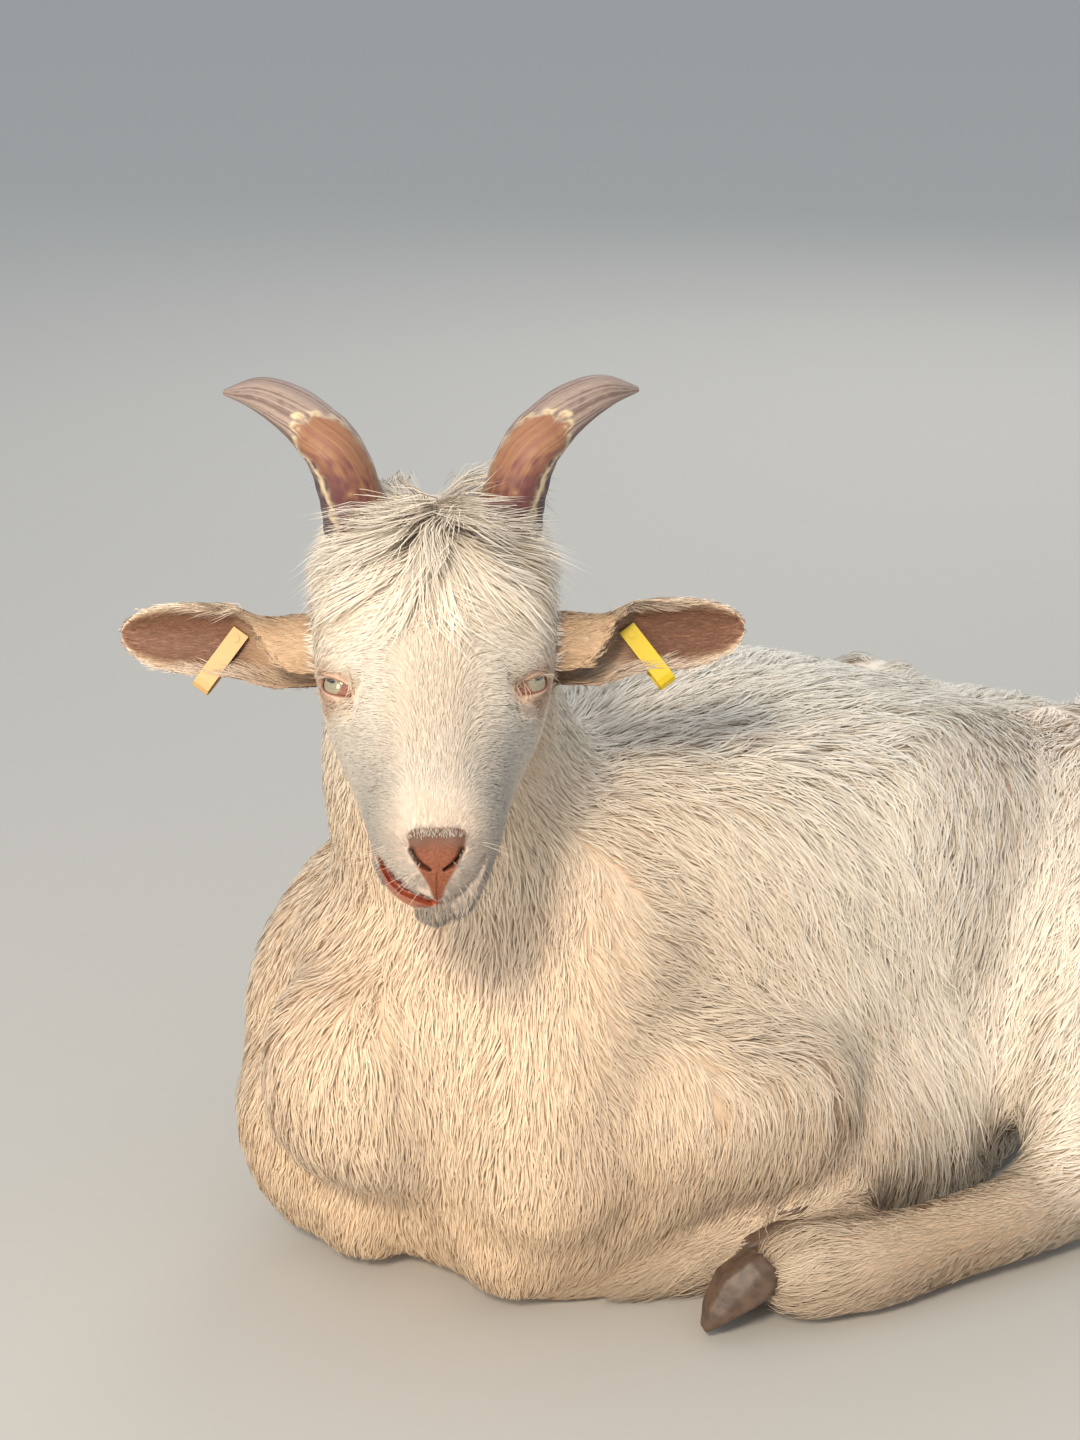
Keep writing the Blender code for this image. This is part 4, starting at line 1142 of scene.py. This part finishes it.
for kind, hair in hairs.items():
    region_at = np.argmax(at_roots(skin_shares, hair.faces, hair.weights), axis=1)
    across_body = hair.root[:, 0] - knees[0]
    across_head = to_head(hair.root)[:, 1]
    for k, region in enumerate(REGIONS):
        beside = across_head if region == "head" else across_body
        for word, side in (("left", 1), ("right", -1)):
            members = np.flatnonzero((region_at == k) & (beside * side >= 0) & hair.even)
            members = members[np.argsort(hair.root[members, 1])]
            parts = math.ceil(len(members) * len(hair.strip) / PIECE_TRIANGLES)
            for i, some in enumerate(np.array_split(members, max(1, parts)) if len(members) else ()):
                coat_piece(f"coat_{kind}_{region}_{word}" + (f"_{i + 1}" if parts > 1 else ""), hair, some)

# The eyeball is a wet globe whose clear front bulges a little over a pale grey-olive iris with a
# dark rim. A goat's pupil is a wide slit that lies level. The pink third eyelid fills the inner corner.
# The iris is given by its half angle, in degrees.
IRIS_HALF = 34.0
EYE_ROWS, EYE_COLUMNS = 40, 56
CLEAR_FRONT = 0.0006
eye_finish = Finish("eye", 0.08)
eye_finish.shader.inputs["Coat Weight"].default_value = 1.0
eye_finish.shader.inputs["Coat Roughness"].default_value = 0.02
from_middle = eye_finish.value("from_middle")
fibre = eye_finish.ramp(eye_finish.noise(1500.0), 0.3, 0.7)
iris = eye_finish.mix(fibre, (0.34, 0.30, 0.20), (0.25, 0.22, 0.15))
iris = eye_finish.mix(eye_finish.ramp(from_middle, IRIS_HALF - 8, IRIS_HALF), iris, (0.05, 0.035, 0.025))
white = eye_finish.mix(eye_finish.ramp(from_middle, IRIS_HALF, IRIS_HALF + 3), iris, (0.50, 0.33, 0.25))
beside_slit = eye_finish.ramp(eye_finish.value("from_slit"), 0.80, 1.20)
pupil = eye_finish.mix(beside_slit, (0.014, 0.011, 0.010), white)
on_third_lid = eye_finish.ramp(eye_finish.value("third_lid"), 0.4, 0.6)
eye_finish.colour(eye_finish.mix(on_third_lid, pupil, (0.27, 0.105, 0.070)))
for name, side in (("left", 1), ("right", -1)):
    look, nose_way, above = eye_axes(side)
    tilt = np.linspace(0, math.pi, EYE_ROWS)[:, None]
    turn = np.linspace(0, 2 * math.pi, EYE_COLUMNS, endpoint=False)[None]
    ways = (np.cos(tilt)[..., None] * look + (np.sin(tilt) * np.cos(turn))[..., None] * nose_way
            + (np.sin(tilt) * np.sin(turn))[..., None] * above)
    tilt_degrees = np.degrees(np.broadcast_to(tilt, ways.shape[:2]))
    bulge = CLEAR_FRONT * step(38, 18, tilt_degrees)
    spots = (eye_middle[name] + ways * (EYE_RADIUS - 0.0002 + bulge)[..., None]).reshape(-1, 3)
    ways = ways.reshape(-1, 3)
    sideways = np.degrees(np.arctan2(ways @ nose_way, ways @ look))
    upward = np.degrees(np.arcsin(np.clip(ways @ above, -1, 1)))
    globe = mesh_from("eyeball_" + name, spots, grid_faces(EYE_ROWS, EYE_COLUMNS, 0, True, flip=side < 0))
    slit_way = (np.abs((sideways + 6) / 17) ** 3 + np.abs((upward - 9) / 5.5) ** 3) ** (1 / 3)
    with_values(globe, from_middle=tilt_degrees.ravel(), from_slit=slit_way,
                third_lid=step(26, 34, sideways + 0.5 * np.maximum(0, -upward)))
    globe.materials.append(eye_finish.material)
    eyeball = placed("eyeball_" + name, globe)
    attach(eyeball, "root")
    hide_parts("eye_" + name)

# Lashes stand in a row along the upper lid, and long stiff whiskers grow from the lips and chin. One node
# group stands a bent tapering hair on every root, along the way stored there, with a little variation.
HAIR_SIDES = 5
LASH_LENGTH, LASH_THICKNESS = 0.0085, 0.00009
WHISKER_LENGTH, WHISKER_THICKNESS = 0.026, 0.00013
WHISKERS = 16


def hair_stand():
    group = bpy.data.node_groups.new("standing hairs", "GeometryNodeTree")
    face = group.interface
    face.new_socket("Geometry", in_out="INPUT", socket_type="NodeSocketGeometry")
    for label, value in (("Length", 0.01), ("Thickness", 0.0001), ("Variation", 0.25)):
        face.new_socket(label, in_out="INPUT", socket_type="NodeSocketFloat").default_value = value
    face.new_socket("Seed", in_out="INPUT", socket_type="NodeSocketInt").default_value = 3
    face.new_socket("Material", in_out="INPUT", socket_type="NodeSocketMaterial")
    face.new_socket("Geometry", in_out="OUTPUT", socket_type="NodeSocketGeometry")

    def node(kind, **links):
        made = group.nodes.new(kind)
        for label, source in links.items():
            socket = made.inputs[label.replace("_", " ")]
            if isinstance(source, bpy.types.NodeSocket):
                group.links.new(source, socket)
            else:
                socket.default_value = source
        return made

    def maths(operation, first, second):
        made = group.nodes.new("ShaderNodeMath")
        made.operation = operation
        for socket, source in zip(made.inputs, (first, second)):
            if isinstance(source, bpy.types.NodeSocket):
                group.links.new(source, socket)
            else:
                socket.default_value = source
        return made.outputs[0]

    given = group.nodes.new("NodeGroupInput").outputs
    bow = node("GeometryNodeCurveQuadraticBezier", Resolution=6, Start=(0.0, 0.0, 0.0),
               Middle=(0.0, 0.0, 0.6), End=(0.22, 0.0, 1.0))
    along = node("GeometryNodeSplineParameter")
    taper = node("ShaderNodeMapRange", Value=along.outputs["Factor"], To_Min=1.0, To_Max=0.08)
    thin = maths("DIVIDE", given["Thickness"], given["Length"])
    width = maths("MULTIPLY", taper.outputs["Result"], thin)
    ring = node("GeometryNodeCurvePrimitiveCircle", Resolution=HAIR_SIDES, Radius=1.0)
    hair = node("GeometryNodeCurveToMesh", Curve=bow.outputs[0], Profile_Curve=ring.outputs[0], Scale=width)
    way = node("GeometryNodeInputNamedAttribute", Name="way")
    way.data_type = "FLOAT_VECTOR"
    aim = node("FunctionNodeAlignRotationToVector", Vector=way.outputs["Attribute"])
    aim.axis = "Z"
    shortest = maths("SUBTRACT", 1.0, given["Variation"])
    vary = node("FunctionNodeRandomValue", Seed=given["Seed"])
    vary.data_type = "FLOAT"
    lowest = [socket for socket in vary.inputs if socket.name == "Min" and socket.enabled][0]
    group.links.new(shortest, lowest)
    share = [socket for socket in vary.outputs if socket.enabled][0]
    size = maths("MULTIPLY", share, given["Length"])
    dots = node("GeometryNodeMeshToPoints", Mesh=given["Geometry"])
    stood = node("GeometryNodeInstanceOnPoints", Points=dots.outputs[0], Instance=hair.outputs[0],
                 Rotation=aim.outputs[0], Scale=size)
    whole = node("GeometryNodeRealizeInstances", Geometry=stood.outputs[0])
    dressed = node("GeometryNodeSetMaterial", Geometry=whole.outputs[0], Material=given["Material"])
    group.links.new(dressed.outputs[0], group.nodes.new("NodeGroupOutput").inputs[0])
    return group


stiff_finish = Finish("stiff hair", 0.45)
stiff_finish.colour((0.72, 0.62, 0.48))
stiff_hairs = hair_stand()
corner_at = np.zeros(len(skin_points), int)
corner_at[skin_faces.ravel()] = np.arange(skin_faces.size)


def stiff_row(name, roots_at, ways_out, long, thick):
    dots = mesh_from(name + "_roots", skin_points[roots_at], np.zeros((0, 3), int))
    dots.attributes.new("way", "FLOAT_VECTOR", "POINT").data.foreach_set("vector", ways_out.ravel())
    row = placed(name, dots)
    stand_up = row.modifiers.new("standing hairs", "NODES")
    stand_up.node_group = stiff_hairs
    wanted = {"Length": long, "Thickness": thick, "Material": stiff_finish.material}
    for item in stiff_hairs.interface.items_tree:
        if item.in_out == "INPUT" and item.name in wanted:
            stand_up[item.identifier] = wanted[item.name]
    made = bpy.data.meshes.new_from_object(row.evaluated_get(bpy.context.evaluated_depsgraph_get()))
    row.modifiers.remove(stand_up)
    row.data = made
    made.name = name
    per = len(made.vertices) // len(roots_at)
    steps = np.arange(per) // HAIR_SIDES
    spread = np.stack((np.arange(per) % HAIR_SIDES / HAIR_SIDES, steps / steps.max()), axis=1) - 0.5
    root_uv = skin_uv.reshape(-1, 2)[corner_at[roots_at]]
    hair_uv = (root_uv[:, None] + spread[None] * ROOT_PATCH).reshape(-1, 2)
    corners = np.empty(len(made.loops), np.int32)
    made.loops.foreach_get("vertex_index", corners)
    made.uv_layers.new(name="OFBake").uv.foreach_set("vector", hair_uv[corners].astype(np.float32).ravel())
    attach(row, "root")


pick = np.random.default_rng(23)
for name, side in (("left", 1), ("right", -1)):
    rim_at = len(hide_points) + (2 if side > 0 else len(LID_STEPS) + 2) * LID_SIDES
    turns = np.linspace(0, 2 * math.pi, LID_SIDES, endpoint=False)
    upper = np.flatnonzero((turns > 0.55) & (turns < 2.85))
    look, nose_way, above = eye_axes(side)
    lash_way = look * 0.75 - above * 0.10 + np.outer(0.5 * np.cos(turns[upper]), nose_way)
    lash_way = unit(lash_way + pick.normal(0, 0.10, (len(upper), 3)))
    stiff_row("lashes_" + name, rim_at + upper, lash_way, LASH_LENGTH, LASH_THICKNESS)
    chosen = (share_of["head"] > 0.9) & (is_ear < 0.5) & (n > 0.085) & (l * side > 0.006) & (bare < 0.2)
    chosen &= (over < 8) & (over > -30) & (np.abs(across) > 8)
    spots = pick.choice(np.flatnonzero(chosen), WHISKERS, replace=False)
    whisker_way = unit(skin_normals[spots] * 0.8 + lie[spots] * 0.7 - head_up * 0.35)
    stiff_row("whiskers_" + name, spots, whisker_way, WHISKER_LENGTH, WHISKER_THICKNESS)

# The horns curve up, out and level. The outer half is grey-brown and finely furrowed along its length;
# the front of the base is smooth and orange, going dark red low down, with a pale flaking border. Each
# row is a place on the middle of the left horn in the head's axes, then half its width and its depth.
HORN_ROWS = ((-0.076, 0.042, 0.038, 0.0175, 0.020), (-0.082, 0.044, 0.062, 0.0175, 0.020),
             (-0.090, 0.052, 0.087, 0.0160, 0.0185), (-0.102, 0.064, 0.096, 0.0140, 0.016),
             (-0.114, 0.077, 0.100, 0.0120, 0.014), (-0.126, 0.094, 0.100, 0.0085, 0.010),
             (-0.136, 0.113, 0.093, 0.0015, 0.002))
HORN_ALONG, HORN_AROUND = 120, 96
WITHIN_SOLID = 0.985


def smooth_rows(rows, count):
    """A smooth curve through the rows: Catmull-Rom in every column."""
    rows = np.array(rows, float)
    padded = np.concatenate((2 * rows[:1] - rows[1:2], rows, 2 * rows[-1:] - rows[-2:-1]))
    spots = np.linspace(0, len(rows) - 1, count)
    k = np.minimum(spots.astype(int), len(rows) - 2)
    t = (spots - k)[:, None]
    a, b, c, d = padded[k], padded[k + 1], padded[k + 2], padded[k + 3]
    square, cube = 2 * a - 5 * b + 4 * c - d, 3 * b - a - 3 * c + d
    return 0.5 * (2 * b + (c - a) * t + square * t ** 2 + cube * t ** 3)


horn_finish = Finish("horn", 0.6)
furrow = horn_finish.value("furrow")
outer_horn = horn_finish.mix(horn_finish.ramp(furrow, 0.25, 0.75), (0.19, 0.125, 0.105), (0.40, 0.30, 0.25))
outer_horn = horn_finish.mix(horn_finish.value("low"), outer_horn, (0.085, 0.050, 0.055))
front_horn = horn_finish.mix(horn_finish.ramp(furrow, 0.2, 0.8), (0.27, 0.110, 0.065), (0.33, 0.165, 0.080))
front_horn = horn_finish.mix(horn_finish.value("low"), front_horn, (0.115, 0.035, 0.040))
mixed_horn = horn_finish.mix(horn_finish.value("front"), outer_horn, front_horn)
horn_finish.colour(horn_finish.mix(horn_finish.value("flake"), mixed_horn, (0.66, 0.52, 0.33)))
horn_finish.bump(furrow, 0.5, 0.0006)
for name, side in (("left", 1), ("right", -1)):
    rows_here = smooth_rows(HORN_ROWS, HORN_ALONG)
    rows_here[:, 1] *= side
    centre = from_head(rows_here[:, :3])
    ahead = unit(np.gradient(centre, axis=0))
    front = unit(head_nose - ahead * (ahead @ head_nose)[:, None])
    wide = np.cross(ahead, front) * side
    turn = np.linspace(0, 2 * math.pi, HORN_AROUND, endpoint=False)
    up_along = np.linspace(0, 1, HORN_ALONG)[:, None]
    rings = 1 - 0.012 * np.sin(up_along * 70 + 0.6 * np.sin(turn)[None]) * step(0.9, 0.1, up_along)
    keel = 1 + 0.05 * np.cos(turn)[None] ** 8 * (np.cos(turn) > 0)[None]
    outline = (front[:, None] * (np.cos(turn)[None] * rows_here[:, 4:5] * rings * keel)[..., None]
               + wide[:, None] * (np.sin(turn)[None] * rows_here[:, 3:4] * rings)[..., None])
    spots = (centre[:, None] + outline * WITHIN_SOLID).reshape(-1, 3)
    faces = grid_faces(HORN_ALONG, HORN_AROUND, 0, True, flip=side < 0)
    mesh = mesh_from("horn_shape_" + name, spots, faces)
    grain = np.random.default_rng(5)
    strips = grain.random(HORN_AROUND)
    blotch = even_ring(grain.random((HORN_ALONG, HORN_AROUND)), 2)
    blotch = even_ring(blotch.T, 1).T
    furrow_value = 0.65 * strips[None] + 0.7 * (blotch - 0.25)
    # The bare patch lies on the front and inner side of the lower half.
    patch = 0.10 + 0.50 * np.cos(turn[None] + 0.55) - 2.4 * np.maximum(0, up_along - 0.42)
    patch = patch + 0.42 * (blotch - 0.5)
    front_value = step(0.33, 0.42, patch)
    flake_value = hill(patch, 0.33, 0.05) * step(0.30, 0.6, blotch) + 0.5 * step(0.72, 0.8, blotch)
    stain = up_along - 0.10 * np.cos(turn[None] - 0.9) + 0.5 * (blotch - 0.5)
    low_value = np.clip(0.25 * step(0.2, 0.8, blotch) + step(0.36, 0.10, stain), 0, 1)
    with_values(mesh, furrow=np.clip(furrow_value, 0, 1).ravel(), front=front_value.ravel(),
                flake=np.clip(flake_value, 0, 1).ravel(), low=low_value.ravel())
    mesh.materials.append(horn_finish.material)
    spike = placed("horn_shape_" + name, mesh)
    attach(spike, "root")
    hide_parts("horn_" + name)

# The claws are dark brown horn, mottled and a little ridged. Each is its solid with the edges worn
# round, by building it again from small cubes and evening it out.
HOOF_GRAIN, HOOF_WEAR = 0.0010, 10
CLAWS = [f"claw_{leg}_{word}" for leg in ("fore_left", "fore_right", "hind_left", "hind_right")
         for word in ("outer", "inner")]
hoof_finish = Finish("hoof", 0.5)
mottled = hoof_finish.ramp(hoof_finish.noise(160.0), 0.3, 0.7)
hoof_finish.colour(hoof_finish.mix(mottled, (0.070, 0.043, 0.029), (0.115, 0.070, 0.045)))
hoof_finish.bump(hoof_finish.noise(260.0, 3.0, (0.4, 1, 1)), 0.4, 0.0006)
for name in CLAWS:
    mesh = remeshed(merged_solids((name,), 0.0), HOOF_GRAIN)
    spots = even_out(points_of(mesh), edges_of(mesh), HOOF_WEAR)
    mesh.vertices.foreach_set("co", spots.astype(np.float32).ravel())
    mesh.polygons.foreach_set("use_smooth", np.ones(len(mesh.polygons), bool))
    mesh.update()
    mesh.materials.clear()
    mesh.materials.append(hoof_finish.material)
    horny = placed(name.replace("claw", "hoof"), mesh)
    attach(horny, "root")
    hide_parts(name)

# The ear tags are folded plastic strips, rounded at their edges: a fresh yellow one in the left ear and
# a sun-bleached one in the right.
TAG_EDGE = 0.0003
for name, plastic in (("left", (0.60, 0.43, 0.01)), ("right", (0.58, 0.36, 0.14))):
    tag_finish = Finish("tag " + name, 0.5)
    tag_finish.colour(plastic)
    tag = placed("tag_strip_" + name, nodes["ear_tag_" + name].data.copy())
    edges = tag.modifiers.new("edges", "BEVEL")
    edges.width = TAG_EDGE
    edges.segments = 2
    graph = bpy.context.evaluated_depsgraph_get()
    tag.data = bpy.data.meshes.new_from_object(tag.evaluated_get(graph), depsgraph=graph)
    tag.modifiers.clear()
    tag.data.materials.clear()
    tag.data.materials.append(tag_finish.material)
    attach(tag, "root")
    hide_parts("ear_tag_" + name)
